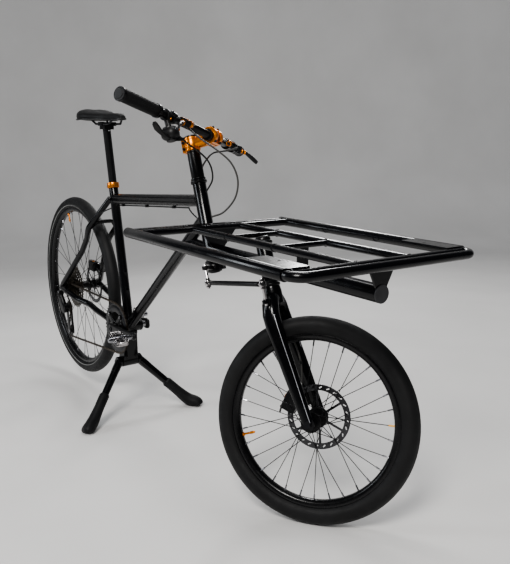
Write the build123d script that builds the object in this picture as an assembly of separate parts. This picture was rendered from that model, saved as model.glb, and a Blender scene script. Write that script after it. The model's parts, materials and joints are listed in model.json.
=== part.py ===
from build123d import *
import math
import os

os.makedirs("parts", exist_ok=True)

# ---------------------------------------------------------------------------
# Driving dimensions, in millimetres and degrees.
# Bike frame: X forward from the rear deck tube, Y to the rider's left, Z up,
# square to the cargo deck.  place() then stands the bike on its centre stand.
# ---------------------------------------------------------------------------
NOSE_DOWN = 3.9          # the stand lifts the rear wheel, so the deck noses down
STEER_AT_REST = 34.5     # bars and front wheel are turned left at rest
HEAD_ANGLE = 70.6        # both steering axes, from the deck plane
SEAT_ANGLE = 78.2

FRONT_TYRE_R = 250.0     # 47-406 tyre
FRONT_BEAD_R = 203.0
FRONT_SECTION = 23.5
REAR_TYRE_R = 357.0      # 46-622 tyre
REAR_BEAD_R = 311.0
REAR_SECTION = 23.0
ROTOR_R = 80.0

FRONT_AXLE = (431.0, 248.6)    # X, Z with the wheel straight ahead
FORK_RAKE = 45.0
FRONT_HUB_HALF = 50.0
REAR_AXLE = (-1001.6, 315.4)
REAR_HUB_HALF = 71.0
BOTTOM_BRACKET = (-548.0, 251.5)

DECK_Z = 667.5
DECK_LENGTH = 675.0
DECK_HALF_WIDTH = 247.0
SIDE_RAIL_R = 12.7
CROSS_TUBE_R = 9.5
INNER_RAIL_R = 9.0
INNER_RAIL_Y = 76.0
PAIR_GAP = 29.0          # spacing of the paired tubes at each end of the deck
CROSS_BAR_X = (205.0, 393.0)
TAB_HOLE = (570.0, 206.0)

BOOM_Z = 602.0
BOOM_R = 19.3
BOOM_END_X = 640.0
BOOM_START_X = -128.0

HEAD_TUBE_R = 19.0
HEAD_BORE_R = 16.0
STEERER_R = 14.3
COLUMN_DECK_X = -24.4    # where the rear steering axis crosses the deck plane
ARM_LENGTH = 60.0        # tie-rod arms, both on the right-hand side
BAR_REACH = 64.0         # stem length
BAR_LOCAL_Z = 238.0

CHAINLINE = 50.0
CHAIN_SKEW = 1.26        # degrees the chain slants outwards to the smallest sprocket
CHAIN_PITCH = 12.7
CHAINRING_TEETH = 44
SPROCKET_TEETH = 11
CRANK_LENGTH = 170.0
CRANK_ANGLE = 5.0        # right crank above level, pointing forward

STAND_PIVOT = (-562.0, 120.0)
FOOT_X = -446.0
FOOT_Y = 207.0

SPOKES = 32
RUNNING = 0.05           # radial clearance of turning fits
OPEN_PIVOT = 0.25        # looser hole where the steering linkage closes its loop
SHELF = 0.02             # gap that keeps touching faces apart


# ---------------------------------------------------------------------------
# Small geometry helpers
# ---------------------------------------------------------------------------
ON_BASE = (Align.CENTER, Align.CENTER, Align.MIN)


def unit(angle):
    """Direction in the XZ plane, leaning back by the given angle."""
    return Vector(-math.cos(math.radians(angle)), 0, math.sin(math.radians(angle)))


def rod(start, end, radius):
    start, end = Vector(*start), Vector(*end)
    plane = Plane(origin=start, z_dir=end - start)
    length = (end - start).length
    return plane * Cylinder(radius, length, align=ON_BASE)


def pipe(points, radius, bend):
    path = FilletPolyline(*points, radius=bend)
    section = Plane(origin=path @ 0, z_dir=path % 0) * Circle(radius)
    return sweep(section, path=path)


def across(x, z, radius, y_low, y_high):
    """Cylinder along Y between two widths."""
    return rod((x, y_low, z), (x, y_high, z), radius)


def block(x, y, z, sx, sy, sz):
    return Pos(x, y, z) * Box(sx, sy, sz)


def revolved(profile):
    """Closed XZ profile (radius, height) revolved about Z."""
    face = make_face(Plane.XZ * Polyline(*profile, close=True))
    return revolve(face, Axis.Z)


def mirrored(shape):
    return mirror(shape, about=Plane.XZ)


def steering_plane(x, z, turn):
    """Frame on a steering axis: x forward, y left, z up along the axis."""
    up = unit(HEAD_ANGLE)
    ahead = Vector(up.Z, 0, -up.X)
    side = Vector(0, 1, 0)
    turn = math.radians(turn)
    return Plane(
        origin=(x, 0, z), x_dir=ahead * math.cos(turn) + side * math.sin(turn), z_dir=up
    )


HEAD_UP = unit(HEAD_ANGLE)
HEAD_AHEAD = Vector(HEAD_UP.Z, 0, -HEAD_UP.X)
FORK_FOOT = Vector(FRONT_AXLE[0], 0, FRONT_AXLE[1]) - HEAD_AHEAD * FORK_RAKE
REAR_HEAD = steering_plane(COLUMN_DECK_X, DECK_Z, 0)
COLUMN = steering_plane(COLUMN_DECK_X, DECK_Z, STEER_AT_REST)
FRONT_HEAD = steering_plane(FORK_FOOT.X, FORK_FOOT.Z, 0)
FORK = steering_plane(FORK_FOOT.X, FORK_FOOT.Z, STEER_AT_REST)
CRANK = Plane(
    origin=(BOTTOM_BRACKET[0], 0, BOTTOM_BRACKET[1]),
    x_dir=(math.cos(math.radians(CRANK_ANGLE)), 0, math.sin(math.radians(CRANK_ANGLE))),
    z_dir=(-math.sin(math.radians(CRANK_ANGLE)), 0, math.cos(math.radians(CRANK_ANGLE))),
)
REAR_WHEEL = Pos(REAR_AXLE[0], 0, REAR_AXLE[1])
FRONT_WHEEL = FORK.location * Pos(FORK_RAKE, 0, 0)


def floor_height():
    """Height of the floor after the nose-down turn, from the steered front tyre."""
    level = Rot(0, NOSE_DOWN, 0) * FRONT_WHEEL
    axle = Plane(level).y_dir
    core = FRONT_TYRE_R - FRONT_SECTION
    return level.position.Z - core * math.sqrt(1 - axle.Z**2) - FRONT_SECTION


FLOOR = floor_height()
LEAN = math.radians(NOSE_DOWN)
FOOT_Z = (FLOOR + FOOT_X * math.sin(LEAN)) / math.cos(LEAN)
FLOOR_X = FOOT_X * math.cos(LEAN) + FOOT_Z * math.sin(LEAN)
PLACE = Pos(-FLOOR_X, 0, -FLOOR) * Rot(0, NOSE_DOWN, 0)


def save(name, *solids):
    placed = [PLACE * solid for solid in solids]
    shape = placed[0] if len(placed) == 1 else Compound(children=placed)
    export_step(shape, f"parts/{name}.step")


# ---------------------------------------------------------------------------
# Main frame
# ---------------------------------------------------------------------------
SEAT_UP = unit(SEAT_ANGLE)
BB_POINT = Vector(BOTTOM_BRACKET[0], 0, BOTTOM_BRACKET[1])
SEAT_TUBE_R = 16.0
SEAT_POST_R = 13.6
SEAT_TOP = BB_POINT + SEAT_UP * 500.0
POST_TOP = BB_POINT + SEAT_UP * 700.0
TOP_TUBE_R = 17.5
DOWN_TUBE_R = 17.5
TUBE_WALL = 2.0
BB_SHELL_R = 21.0
BB_SHELL_HALF = 34.0
BB_BORE_R = 17.0
REAR_CUP_LOCAL = (-99.5, 120.0)      # ends of the rear head tube along its axis
FRONT_CUP_LOCAL = (344.0, 440.0)
CUP_HEIGHT = 9.0
CUP_R = 23.0
TOP_TUBE_ENDS = ((-641.0, 0, 693.5), (-50.0, 0, 734.0))
DOWN_TUBE_TOP = (-30.0, 0, 690.5)
CHAIN_STAY = (           # curved out round the tyre, in past the crank, out to the hub
    (-556.0, 20.0, 251.0), (-650.0, 37.0, 262.0), (-730.0, 45.5, 274.5),
    (-800.0, 46.5, 285.0), (-866.0, 69.0, 295.0), (-986.0, 78.0, 312.0),
)
CHAIN_STAY_R = 11.0
SEAT_STAY = (
    (-652.0, 12.0, 694.0), (-757.0, 55.0, 581.0), (-800.0, 45.5, 535.0),
    (-848.0, 46.5, 483.0), (-986.0, 78.0, 335.0),
)
SEAT_STAY_R = 10.5
STAY_BRIDGE = (
    (-755.0, -50.0, 581.0), (-738.0, -30.0, 604.0),
    (-738.0, 30.0, 604.0), (-755.0, 50.0, 581.0),
)
DROPOUT_R = 20.0
DROPOUT_THICK = 8.0
AXLE_R = 6.0
BOSS_SPACING = 64.0
BOSS_HEIGHT = 164.0
BOSS_HOLE_R = 2.5


def on_head(plane, low, high, radius):
    """Cylinder along a steering axis between two local heights."""
    span = Cylinder(radius, high - low, align=ON_BASE)
    return plane * Pos(0, 0, low) * span


def stays():
    chain_stay = pipe(CHAIN_STAY, CHAIN_STAY_R, 60)
    seat_stay = pipe(SEAT_STAY, SEAT_STAY_R, 70)
    plate = across(*REAR_AXLE, DROPOUT_R, REAR_HUB_HALF, REAR_HUB_HALF + DROPOUT_THICK)
    left = chain_stay + seat_stay + plate
    caliper_tab = block(REAR_AXLE[0] + 30, 74.8, REAR_AXLE[1] + 69, 74, 9, 24)
    bridge = pipe(STAY_BRIDGE, 7, 14)
    return left + mirrored(left) + bridge + caliper_tab


def bottle_bosses():
    """Two threaded bosses on the front of the seat tube."""
    front = Vector(SEAT_UP.Z, 0, -SEAT_UP.X)
    bosses, holes = [], []
    for step in (-0.5, 0.5):
        foot = BB_POINT + SEAT_UP * (BOSS_HEIGHT + step * BOSS_SPACING)
        bosses.append(rod(foot, foot + front * (SEAT_TUBE_R + 3), 5.5))
        holes.append(rod(foot + front * 14.2, foot + front * (SEAT_TUBE_R + 4), BOSS_HOLE_R))
    return bosses, holes


def frame_bores():
    """Everything that is hollow in the frame, joined from tube to tube."""
    seat_low = BB_POINT + SEAT_UP * 60
    bores = [
        rod(seat_low, SEAT_TOP + SEAT_UP * 5, SEAT_POST_R + RUNNING),
        rod(TOP_TUBE_ENDS[0], TOP_TUBE_ENDS[1], TOP_TUBE_R - TUBE_WALL),
        rod(BB_POINT, DOWN_TUBE_TOP, DOWN_TUBE_R - TUBE_WALL),
        rod((BOOM_START_X + 22, 0, BOOM_Z), (BOOM_END_X + 1, 0, BOOM_Z), BOOM_R - TUBE_WALL),
        across(*BOTTOM_BRACKET, BB_BORE_R, -BB_SHELL_HALF - 1, BB_SHELL_HALF + 1),
        across(*REAR_AXLE, AXLE_R + SHELF, -REAR_HUB_HALF - 20, REAR_HUB_HALF + 20),
        on_head(REAR_HEAD, REAR_CUP_LOCAL[0] - 5, REAR_CUP_LOCAL[1] + 5, HEAD_BORE_R),
        on_head(FRONT_HEAD, FRONT_CUP_LOCAL[0] - 5, FRONT_CUP_LOCAL[1] + 5, HEAD_BORE_R),
    ]
    return bores


def main_frame():
    bosses, boss_holes = bottle_bosses()
    tubes = [
        rod(BB_POINT, SEAT_TOP, SEAT_TUBE_R),
        rod(TOP_TUBE_ENDS[0], TOP_TUBE_ENDS[1], TOP_TUBE_R),
        rod(BB_POINT, DOWN_TUBE_TOP, DOWN_TUBE_R),
        rod((BOOM_START_X, 0, BOOM_Z), (BOOM_END_X, 0, BOOM_Z), BOOM_R),
        across(*BOTTOM_BRACKET, BB_SHELL_R, -BB_SHELL_HALF, BB_SHELL_HALF),
        on_head(REAR_HEAD, *REAR_CUP_LOCAL, HEAD_TUBE_R),
        on_head(FRONT_HEAD, *FRONT_CUP_LOCAL, HEAD_TUBE_R),
        stays(),
        stand_mount(),
    ]
    frame = tubes[0]
    for piece in tubes[1:] + bosses:
        frame = frame + piece
    for bore in frame_bores() + boss_holes:
        frame = frame - bore
    return frame


# ---------------------------------------------------------------------------
# Centre stand
# ---------------------------------------------------------------------------
STAND_BLOCK_HALF = 28.0
STAND_EYE = (28.5, 45.0)
STAND_EYE_R = 19.0
STAND_PIN_R = 6.0
STAND_LEG_R = 13.5


def stand_mount():
    """Plate welded under the bottom bracket that carries the stand casting."""
    x = STAND_PIVOT[0]
    return block(x - 2, 0, BOTTOM_BRACKET[1] - BB_SHELL_R - 1, 62, 46, 8)


def stand_bracket():
    x, z = STAND_PIVOT
    top = BOTTOM_BRACKET[1] - BB_SHELL_R - 5 - SHELF
    body = loft([
        Pos(x - 2, 0, top) * Rectangle(58, 44),
        Pos(x, 0, z + 8) * Rectangle(38, 2 * STAND_BLOCK_HALF),
    ])
    knuckle = across(x, z, 19, -STAND_BLOCK_HALF, STAND_BLOCK_HALF)
    bore = across(x, z, STAND_PIN_R + RUNNING, -60, 60)
    return body + knuckle - bore


def stand_leg():
    """Right-hand leg before mirroring is the left one: eye, tube and tapered end."""
    x, z = STAND_PIVOT
    eye = across(x, z, STAND_EYE_R, *STAND_EYE)
    root = Vector(x, sum(STAND_EYE) / 2 + 1, z)
    foot = Vector(FOOT_X, FOOT_Y, FOOT_Z)
    along = (foot - root).normalized()
    leg = rod(root + along * 4, foot - along * 62, STAND_LEG_R)
    bore = across(x, z, STAND_PIN_R + SHELF, 0, 60)
    return eye + leg - bore


def stand_boot():
    """Flared rubber boot that ends flat on the floor."""
    x, z = STAND_PIVOT
    root = Vector(x, sum(STAND_EYE) / 2 + 1, z)
    foot = Vector(FOOT_X, FOOT_Y, FOOT_Z)
    along = (foot - root).normalized()
    sleeve = rod(foot - along * 146, foot - along * 30, STAND_LEG_R + 3)
    flare = loft([
        Plane(origin=foot - along * 66, z_dir=along) * Circle(STAND_LEG_R + 3),
        Plane(origin=foot - along * 8, z_dir=along) * Ellipse(25, 20),
    ])
    toe = rod(foot - along * 8, foot + along * 40, 20)
    leg = rod(root + along * 4, foot - along * 62, STAND_LEG_R + SHELF)
    boot = sleeve + flare + toe - leg
    down = Vector(-math.sin(LEAN), 0, math.cos(LEAN))
    floor = Plane(origin=foot, z_dir=-down)
    waste = floor * Box(400, 400, 100, align=ON_BASE)
    return boot - waste


def stand_pin():
    x, z = STAND_PIVOT
    return across(x, z, STAND_PIN_R, -STAND_EYE[1] - 3, STAND_EYE[1] + 3)


# ---------------------------------------------------------------------------
# Cargo deck
# ---------------------------------------------------------------------------
CORNER_R = 30.0
TAB_THICK = 4.0
TAB_HOLE_R = 4.25
FRONT_X = DECK_LENGTH
INNER_FRONT_X = DECK_LENGTH - PAIR_GAP
LOOP_JOIN_X = 640.0
LOOP_R = 10.0
CROSS_BAR_R = 6.5
DECK_WALL = 1.8


def deck_tubes(thinner):
    """Every round tube of the deck, with its radius reduced by a given amount."""
    wide = DECK_HALF_WIDTH
    tubes = []
    for side in (-1, 1):
        tubes.append(
            rod((-6 - thinner, side * wide, DECK_Z),
                (LOOP_JOIN_X - 6 * thinner, side * wide, DECK_Z), SIDE_RAIL_R - thinner)
        )
        tubes.append(
            rod((PAIR_GAP, side * INNER_RAIL_Y, DECK_Z),
                (INNER_FRONT_X, side * INNER_RAIL_Y, DECK_Z), INNER_RAIL_R - thinner)
        )
    start = LOOP_JOIN_X - 5 - 8 * thinner
    loop = (
        (start, -wide, DECK_Z), (FRONT_X, -wide, DECK_Z),
        (FRONT_X, wide, DECK_Z), (start, wide, DECK_Z),
    )
    tubes.append(pipe(loop, LOOP_R - thinner, CORNER_R))
    for x in (0, PAIR_GAP, INNER_FRONT_X):
        tubes.append(rod((x, -wide, DECK_Z), (x, wide, DECK_Z), CROSS_TUBE_R - thinner))
    return tubes


def cargo_deck():
    tubes = deck_tubes(0)
    for x in CROSS_BAR_X:
        tubes.append(rod((x, -INNER_RAIL_Y, DECK_Z), (x, INNER_RAIL_Y, DECK_Z), CROSS_BAR_R))
    deck = tubes[0].fuse(*tubes[1:], *deck_plates(), *corner_tabs())
    return deck.cut(*deck_tubes(DECK_WALL), *deck_clearances())


def upright_plate(x, top_width, bottom_width):
    """Cross plate that stands on the boom and carries the deck."""
    low = BOOM_Z + 11
    outline = Plane(origin=(x - 2.5, 0, 0), x_dir=(0, 1, 0), z_dir=(1, 0, 0)) * Polyline(
        (-bottom_width / 2, low), (bottom_width / 2, low),
        (top_width / 2, DECK_Z - 4), (-top_width / 2, DECK_Z - 4), close=True,
    )
    return extrude(make_face(outline), 5, dir=(1, 0, 0))


def deck_plates():
    return [
        upright_plate(PAIR_GAP + 6, 114, 34),
        upright_plate(CROSS_BAR_X[1], 31, 31),
        upright_plate(BOOM_END_X - 2.5, 80, 28),
    ]


def corner_tabs():
    tabs = []
    for side in (-1, 1):
        tab = block(TAB_HOLE[0] + 8, side * (TAB_HOLE[1] + 12), DECK_Z + 10.5, 130, 50, TAB_THICK)
        at = Vector(TAB_HOLE[0], side * TAB_HOLE[1], DECK_Z)
        hole = rod(at, at + Vector(0, 0, 20), TAB_HOLE_R)
        tabs.append(tab - hole)
    return tabs


def deck_clearances():
    """The deck is mitred to the frame: nothing of it enters the frame's tubes."""
    return [
        rod((BOOM_START_X, 0, BOOM_Z), (BOOM_END_X + 60, 0, BOOM_Z), BOOM_R + SHELF),
        on_head(REAR_HEAD, -120, 200, HEAD_TUBE_R + SHELF),
        on_head(REAR_HEAD, REAR_CUP_LOCAL[0] - 60, REAR_CUP_LOCAL[0] + SHELF, 60),
        rod(BB_POINT, DOWN_TUBE_TOP, DOWN_TUBE_R + SHELF),
        on_head(FRONT_HEAD, 300, 470, CUP_R + 3),
    ]


def boom_cap():
    plug = rod((BOOM_END_X - 14, 0, BOOM_Z), (BOOM_END_X, 0, BOOM_Z), BOOM_R - TUBE_WALL - SHELF)
    face = rod((BOOM_END_X + SHELF, 0, BOOM_Z), (BOOM_END_X + 3, 0, BOOM_Z), BOOM_R)
    neck = rod((BOOM_END_X - 1, 0, BOOM_Z), (BOOM_END_X + 2, 0, BOOM_Z), BOOM_R - 4)
    return plug + face + neck


# ---------------------------------------------------------------------------
# Bearings, seat and frame fittings
# ---------------------------------------------------------------------------
def cup(plane, at, upward):
    """Headset cup: a flange outside the tube and a spigot in its bore."""
    sign = 1 if upward else -1
    flange = revolved([
        (STEERER_R + RUNNING, 0), (CUP_R - 2, 0), (CUP_R, 2), (CUP_R, CUP_HEIGHT - 2),
        (CUP_R - 3, CUP_HEIGHT), (STEERER_R + RUNNING, CUP_HEIGHT),
    ])
    spigot = revolved([
        (STEERER_R + RUNNING, -8), (HEAD_BORE_R - SHELF, -8),
        (HEAD_BORE_R - SHELF, SHELF), (STEERER_R + RUNNING, SHELF),
    ])
    piece = flange + spigot
    if sign < 0:
        piece = mirror(piece, about=Plane.XY)
    return plane * Pos(0, 0, at + sign * SHELF) * piece


def headset_cups():
    return [
        cup(REAR_HEAD, REAR_CUP_LOCAL[1], True), cup(REAR_HEAD, REAR_CUP_LOCAL[0], False),
        cup(FRONT_HEAD, FRONT_CUP_LOCAL[1], True), cup(FRONT_HEAD, FRONT_CUP_LOCAL[0], False),
    ]


SPINDLE_R = 12.0


def bb_cups():
    x, z = BOTTOM_BRACKET
    cups = []
    for side in (-1, 1):
        flange = across(x, z, 21, side * (BB_SHELL_HALF + SHELF), side * (BB_SHELL_HALF + 9))
        spigot = across(x, z, BB_BORE_R - SHELF, side * (BB_SHELL_HALF - 14), side * (BB_SHELL_HALF + 5))
        bore = across(x, z, SPINDLE_R + RUNNING, -60, 60)
        cups.append(flange + spigot - bore)
    return cups


CLAMP_R = 20.5


def seat_clamp():
    """Split band with a pinch-bolt boss at the back."""
    low, high = SEAT_TOP - SEAT_UP * 10, SEAT_TOP + SEAT_UP * 8
    back = Vector(-SEAT_UP.Z, 0, SEAT_UP.X)
    middle = Plane(origin=low + back * 23 + SEAT_UP * 9, x_dir=back, z_dir=SEAT_UP)
    ears = middle * Box(14, 15, 17)
    bolt = middle * Pos(2, 0, 0) * Rot(90, 0, 0) * Cylinder(4.5, 23)
    slot = middle * Pos(-4, 0, 0) * Box(10, 2, 30)
    tube = rod(low - SEAT_UP, SEAT_TOP, SEAT_TUBE_R + SHELF)
    post = rod(low - SEAT_UP, high + SEAT_UP, SEAT_POST_R + RUNNING)
    return rod(low, high, CLAMP_R) + ears + bolt - slot - tube - post


def seatpost():
    post = rod(BB_POINT + SEAT_UP * 372, POST_TOP, SEAT_POST_R)
    head = Plane(origin=POST_TOP, x_dir=(1, 0, 0), z_dir=(0, 0, 1)) * Pos(2, 0, 2) * Box(44, 34, 12)
    cradle = Pos(POST_TOP.X + 6, 0, POST_TOP.Z + 14) * Box(34, 54, 12)
    return post + head + cradle - saddle_rail_core(0.0 + SHELF)


RAIL_Y = 22.0
RAIL_R = 3.5
SADDLE_REAR = -830.0
SADDLE_NOSE = -552.0


def saddle_rail_core(extra):
    """The two parallel rail rods under the saddle."""
    base = POST_TOP.Z + 14
    rails = []
    for side in (-1, 1):
        path = (
            (SADDLE_REAR + 62, side * 34, base + 26), (SADDLE_REAR + 100, side * RAIL_Y, base),
            (SADDLE_NOSE - 70, side * RAIL_Y, base), (SADDLE_NOSE - 32, side * 12, base + 22),
        )
        rails.append(pipe(path, RAIL_R + extra, 12))
    return rails[0] + rails[1]


def saddle_rails():
    return saddle_rail_core(0.0).solids()


def saddle():
    """Plain closed form: wide at the back, narrow at the nose."""
    base = POST_TOP.Z + 38.5
    sections = (
        (SADDLE_REAR, 42, 15, 9), (SADDLE_REAR + 26, 68, 23, 5), (SADDLE_REAR + 72, 71, 23, 3),
        (SADDLE_REAR + 130, 44, 18, 1), (SADDLE_REAR + 190, 24, 15, 1), (SADDLE_REAR + 250, 19, 13, 0),
        (SADDLE_NOSE, 9, 7, -4),
    )
    faces = [
        Plane(origin=(x, 0, base + lift), x_dir=(0, 1, 0), z_dir=(1, 0, 0)) * Ellipse(half, high)
        for x, half, high, lift in sections
    ]
    return loft(faces) - saddle_rail_core(SHELF)


# ---------------------------------------------------------------------------
# Steering column and cockpit, built in the column's own frame
# ---------------------------------------------------------------------------
ARM_LOCAL_Z = -122.0
ROD_LOCAL_Z = -163.0
FORK_ARM_Z = 298.0
FORK_ROD_Z = 341.0
ARM_THICK = 12.0
STUD_R = 4.0
STEM_LOW = 213.0
STEM_HIGH = 251.0
SPACER_R = 18.5
BAR_R = 15.9
BOLT_RISE = 18.8


def column_local(shape):
    return COLUMN * shape


def steering_column():
    low = ARM_LOCAL_Z - 12
    tube = Pos(0, 0, low) * Cylinder(STEERER_R, STEM_HIGH - low, align=ON_BASE)
    bore = Pos(0, 0, low - 1) * Cylinder(STEERER_R - 2.5, STEM_HIGH - low - 20, align=ON_BASE)
    return column_local(tube - bore)


def ring_on_column(low, high, radius, inner):
    return column_local(revolved([(inner, low), (radius, low), (radius, high), (inner, high)]))


def column_spacers():
    start = REAR_CUP_LOCAL[1] + CUP_HEIGHT + 0.2
    seal = ring_on_column(start, start + 5, CUP_R - 2, STEERER_R + SHELF)
    tall = ring_on_column(start + 5.1, STEM_LOW - 5.1, SPACER_R, STEERER_R + SHELF)
    thin = ring_on_column(STEM_LOW - 5, STEM_LOW - SHELF, SPACER_R, STEERER_R + SHELF)
    return [seal, tall, thin]


def bar_path_points(side):
    """Handlebar centreline on one side, out from the stem clamp."""
    return (
        (BAR_REACH, side * 0.0, BAR_LOCAL_Z), (BAR_REACH, side * 30.0, BAR_LOCAL_Z),
        (BAR_REACH - 20, side * 100.0, BAR_LOCAL_Z + 15),
        (BAR_REACH - 36, side * 230.0, BAR_LOCAL_Z + 26),
        (BAR_REACH - 60, side * BAR_HALF, BAR_LOCAL_Z + 43),
    )


GRIP_R = 16.5
GRIP_INNER = 236.0
BAR_HALF = 365.0
TUBE_BAR_R = 11.1


def bar_shape(radius, side):
    return pipe(bar_path_points(side)[:5], radius, 30)


def handlebar():
    halves = [bar_shape(TUBE_BAR_R, side) for side in (-1, 1)]
    centre = rod((BAR_REACH, -32, BAR_LOCAL_Z), (BAR_REACH, 32, BAR_LOCAL_Z), BAR_R)
    return column_local(halves[0] + halves[1] + centre)


def along_bar(side, width):
    """Point and outward direction on the bar's centreline at a distance from its middle."""
    first = 3 if width > 230 else 2
    inner, outer = (Vector(*point) for point in bar_path_points(side)[first:first + 2])
    way = (outer - inner).normalized()
    share = (width - abs(inner.Y)) / abs(outer.Y - inner.Y)
    return inner + (outer - inner) * share, way


def grips():
    pair = []
    for side in (-1, 1):
        start, way = along_bar(side, GRIP_INNER)
        tip = along_bar(side, BAR_HALF)[0]
        end = tip + way * 3
        body = rod(start, end, GRIP_R) - rod(start - way * 2, tip + way * SHELF, TUBE_BAR_R + SHELF)
        collar = rod(start, start + way * 10, GRIP_R + 1.5) - rod(start - way, start + way * 12, GRIP_R - 1)
        pair.append(column_local(body + collar))
    return pair


def stem():
    post = Pos(0, 0, STEM_LOW) * Cylinder(20, STEM_HIGH - STEM_LOW, align=ON_BASE)
    neck = loft([
        Plane(origin=(8, 0, 232), z_dir=(1, 0, 0)) * Ellipse(15, 15),
        Plane(origin=(BAR_REACH - 12, 0, BAR_LOCAL_Z), z_dir=(1, 0, 0)) * Ellipse(21, 17),
    ])
    jaw = Pos(BAR_REACH - 4, 0, BAR_LOCAL_Z) * Rot(90, 0, 0) * Cylinder(21, 44)
    split = Pos(BAR_REACH + 26.5, 0, BAR_LOCAL_Z) * Box(50, 60, 60)
    ears = Pos(-20, 0, (STEM_LOW + STEM_HIGH) / 2) * Box(16, 18, STEM_HIGH - STEM_LOW)
    slot = Pos(-24, 0, (STEM_LOW + STEM_HIGH) / 2) * Box(28, 2, 60)
    steerer = Pos(0, 0, STEM_LOW - 1) * Cylinder(STEERER_R + SHELF, 60, align=ON_BASE)
    bar = Pos(BAR_REACH, 0, BAR_LOCAL_Z) * Rot(90, 0, 0) * Cylinder(BAR_R + SHELF, 80)
    for rise in (-BOLT_RISE, BOLT_RISE):
        jaw = jaw + Pos(BAR_REACH - 8, 0, BAR_LOCAL_Z + rise) * Box(14, 44, 8)
    body = post + neck + jaw + ears - split - slot - steerer - bar
    for bolt in stem_bolt_shapes(0.3, 0.3):
        body = body - bolt
    return column_local(body)


def stem_faceplate():
    jaw = Pos(BAR_REACH + 3, 0, BAR_LOCAL_Z) * Rot(90, 0, 0) * Cylinder(21, 44)
    keep = Pos(BAR_REACH + 27.5, 0, BAR_LOCAL_Z) * Box(50, 60, 60)
    window = Pos(BAR_REACH + 20, 0, BAR_LOCAL_Z) * Box(20, 16, 60)
    bar = Pos(BAR_REACH, 0, BAR_LOCAL_Z) * Rot(90, 0, 0) * Cylinder(BAR_R + SHELF, 80)
    plate = (jaw & keep) - bar - window
    for rise in (-BOLT_RISE, BOLT_RISE):
        plate = plate + Pos(BAR_REACH + 7, 0, BAR_LOCAL_Z + rise) * Box(9, 44, 8)
    plate = plate - bar
    for bolt in stem_bolt_shapes(0.3, 0.3):
        plate = plate - bolt
    return column_local(plate)


def stem_bolt_shapes(grow, head_grow):
    """Four faceplate bolts and two steerer-clamp bolts, each a head on a shank."""
    bolts = []
    for side in (-16, 16):
        for rise in (-BOLT_RISE, BOLT_RISE):
            at = Pos(BAR_REACH, side, BAR_LOCAL_Z + rise) * Rot(0, 90, 0)
            shank = at * Pos(0, 0, -2) * Cylinder(2.5 + grow, 26)
            head = at * Pos(0, 0, 14) * Cylinder(4 + head_grow, 5)
            bolts.append(shank + head)
    for rise in (STEM_LOW + 10, STEM_HIGH - 10):
        at = Pos(-22, 0, rise) * Rot(90, 0, 0)
        shank = at * Cylinder(2.5 + grow, 18 + 2 * grow)
        head = at * Pos(0, 0, 11) * Cylinder(4 + head_grow, 4)
        bolts.append(shank + head)
    return bolts


def stem_bolts():
    return [column_local(bolt) for bolt in stem_bolt_shapes(0, 0)]


def stem_cap():
    low = STEM_HIGH + SHELF
    disc = Pos(0, 0, low) * Cylinder(18, 5, align=ON_BASE)
    return column_local(disc)


LEVER_AT = 176.0         # distance of the lever clamp from the middle of the bar
SHIFTER_AT = 202.0       # and of the shifter's clamp, right side only
LEVER_DROOP = 36.0       # the levers point forward and down by this much
BLADE = ((214.0, 50.0, 38.0), (240.0, 58.0, 50.0), (262.0, 68.0, 66.0))
PIVOT_FORWARD = 42.0     # from the bar's centre line to the lever's pivot


def lever_frame(side, distance):
    """Frame on the bar: x forward, y outward along the bar, z up."""
    point, way = along_bar(side, distance)
    droop = math.radians(LEVER_DROOP)
    ahead = Vector(math.cos(droop), 0, -math.sin(droop))
    up = ahead.cross(way) * side
    up = up.normalized()
    ahead = way.cross(up) * side
    return point, way, ahead.normalized(), up


def lever_pivot(side):
    point, way, ahead, up = lever_frame(side, LEVER_AT)
    return point + ahead * PIVOT_FORWARD + way * 6, way, ahead, up


def cylinder_start(side):
    """Inboard end of the brake's master cylinder, which lies along the bar."""
    point, way, ahead, up = lever_frame(side, LEVER_AT)
    return point + ahead * 24 + up * 3 - way * 44


def brake_body(side):
    point, way, ahead, up = lever_frame(side, LEVER_AT)
    pivot = lever_pivot(side)[0]
    start = cylinder_start(side)
    clamp = rod(point - way * 7, point + way * 7, TUBE_BAR_R + 5)
    barrel = rod(start, start + way * 38, 8.5)
    link = rod(point + ahead * 10, point + ahead * 24 - way * 10 + up * 3, 6)
    knuckle = rod(pivot - up * 11, pivot + up * 11, 8)
    web = start + way * 30
    arms = rod(web + up * 5, pivot + up * 8, 2.6) + rod(web - up * 8, pivot - up * 8, 2.6)
    bore = rod(point - way * 20, point + way * 20, TUBE_BAR_R + SHELF)
    slot = rod(pivot - up * 5.2, pivot + up * 5.2, 9)
    pin = rod(pivot - up * 20, pivot + up * 20, 2.5 + RUNNING)
    return clamp + barrel + link + knuckle + arms - bore - slot - pin


def brake_lever(side):
    """Two-finger blade with its pivot pin, turning in the knuckle."""
    pivot, way, ahead, up = lever_pivot(side)
    hub = rod(pivot - up * 5, pivot + up * 5, 7)
    pin = rod(pivot - up * 11, pivot + up * 11, 2.5)
    path = [pivot + (ahead + way) * 3]
    for distance, forward, down in BLADE:
        path.append(along_bar(side, distance)[0] + Vector(forward, 0, -down))
    return hub + pin + pipe(path, 4.4, 8)


def reservoir_cap(side):
    way = lever_frame(side, LEVER_AT)[1]
    start = cylinder_start(side)
    return rod(start - way * 12, start - way * SHELF, 7.5)


def shifter_centre():
    """Middle of the shifter housing, hung under the right side of the bar."""
    point, way = along_bar(-1, SHIFTER_AT)
    up = Vector(0, 0, 1)
    return point + Vector(4, 0, 0) - up * 44, way, up


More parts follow.
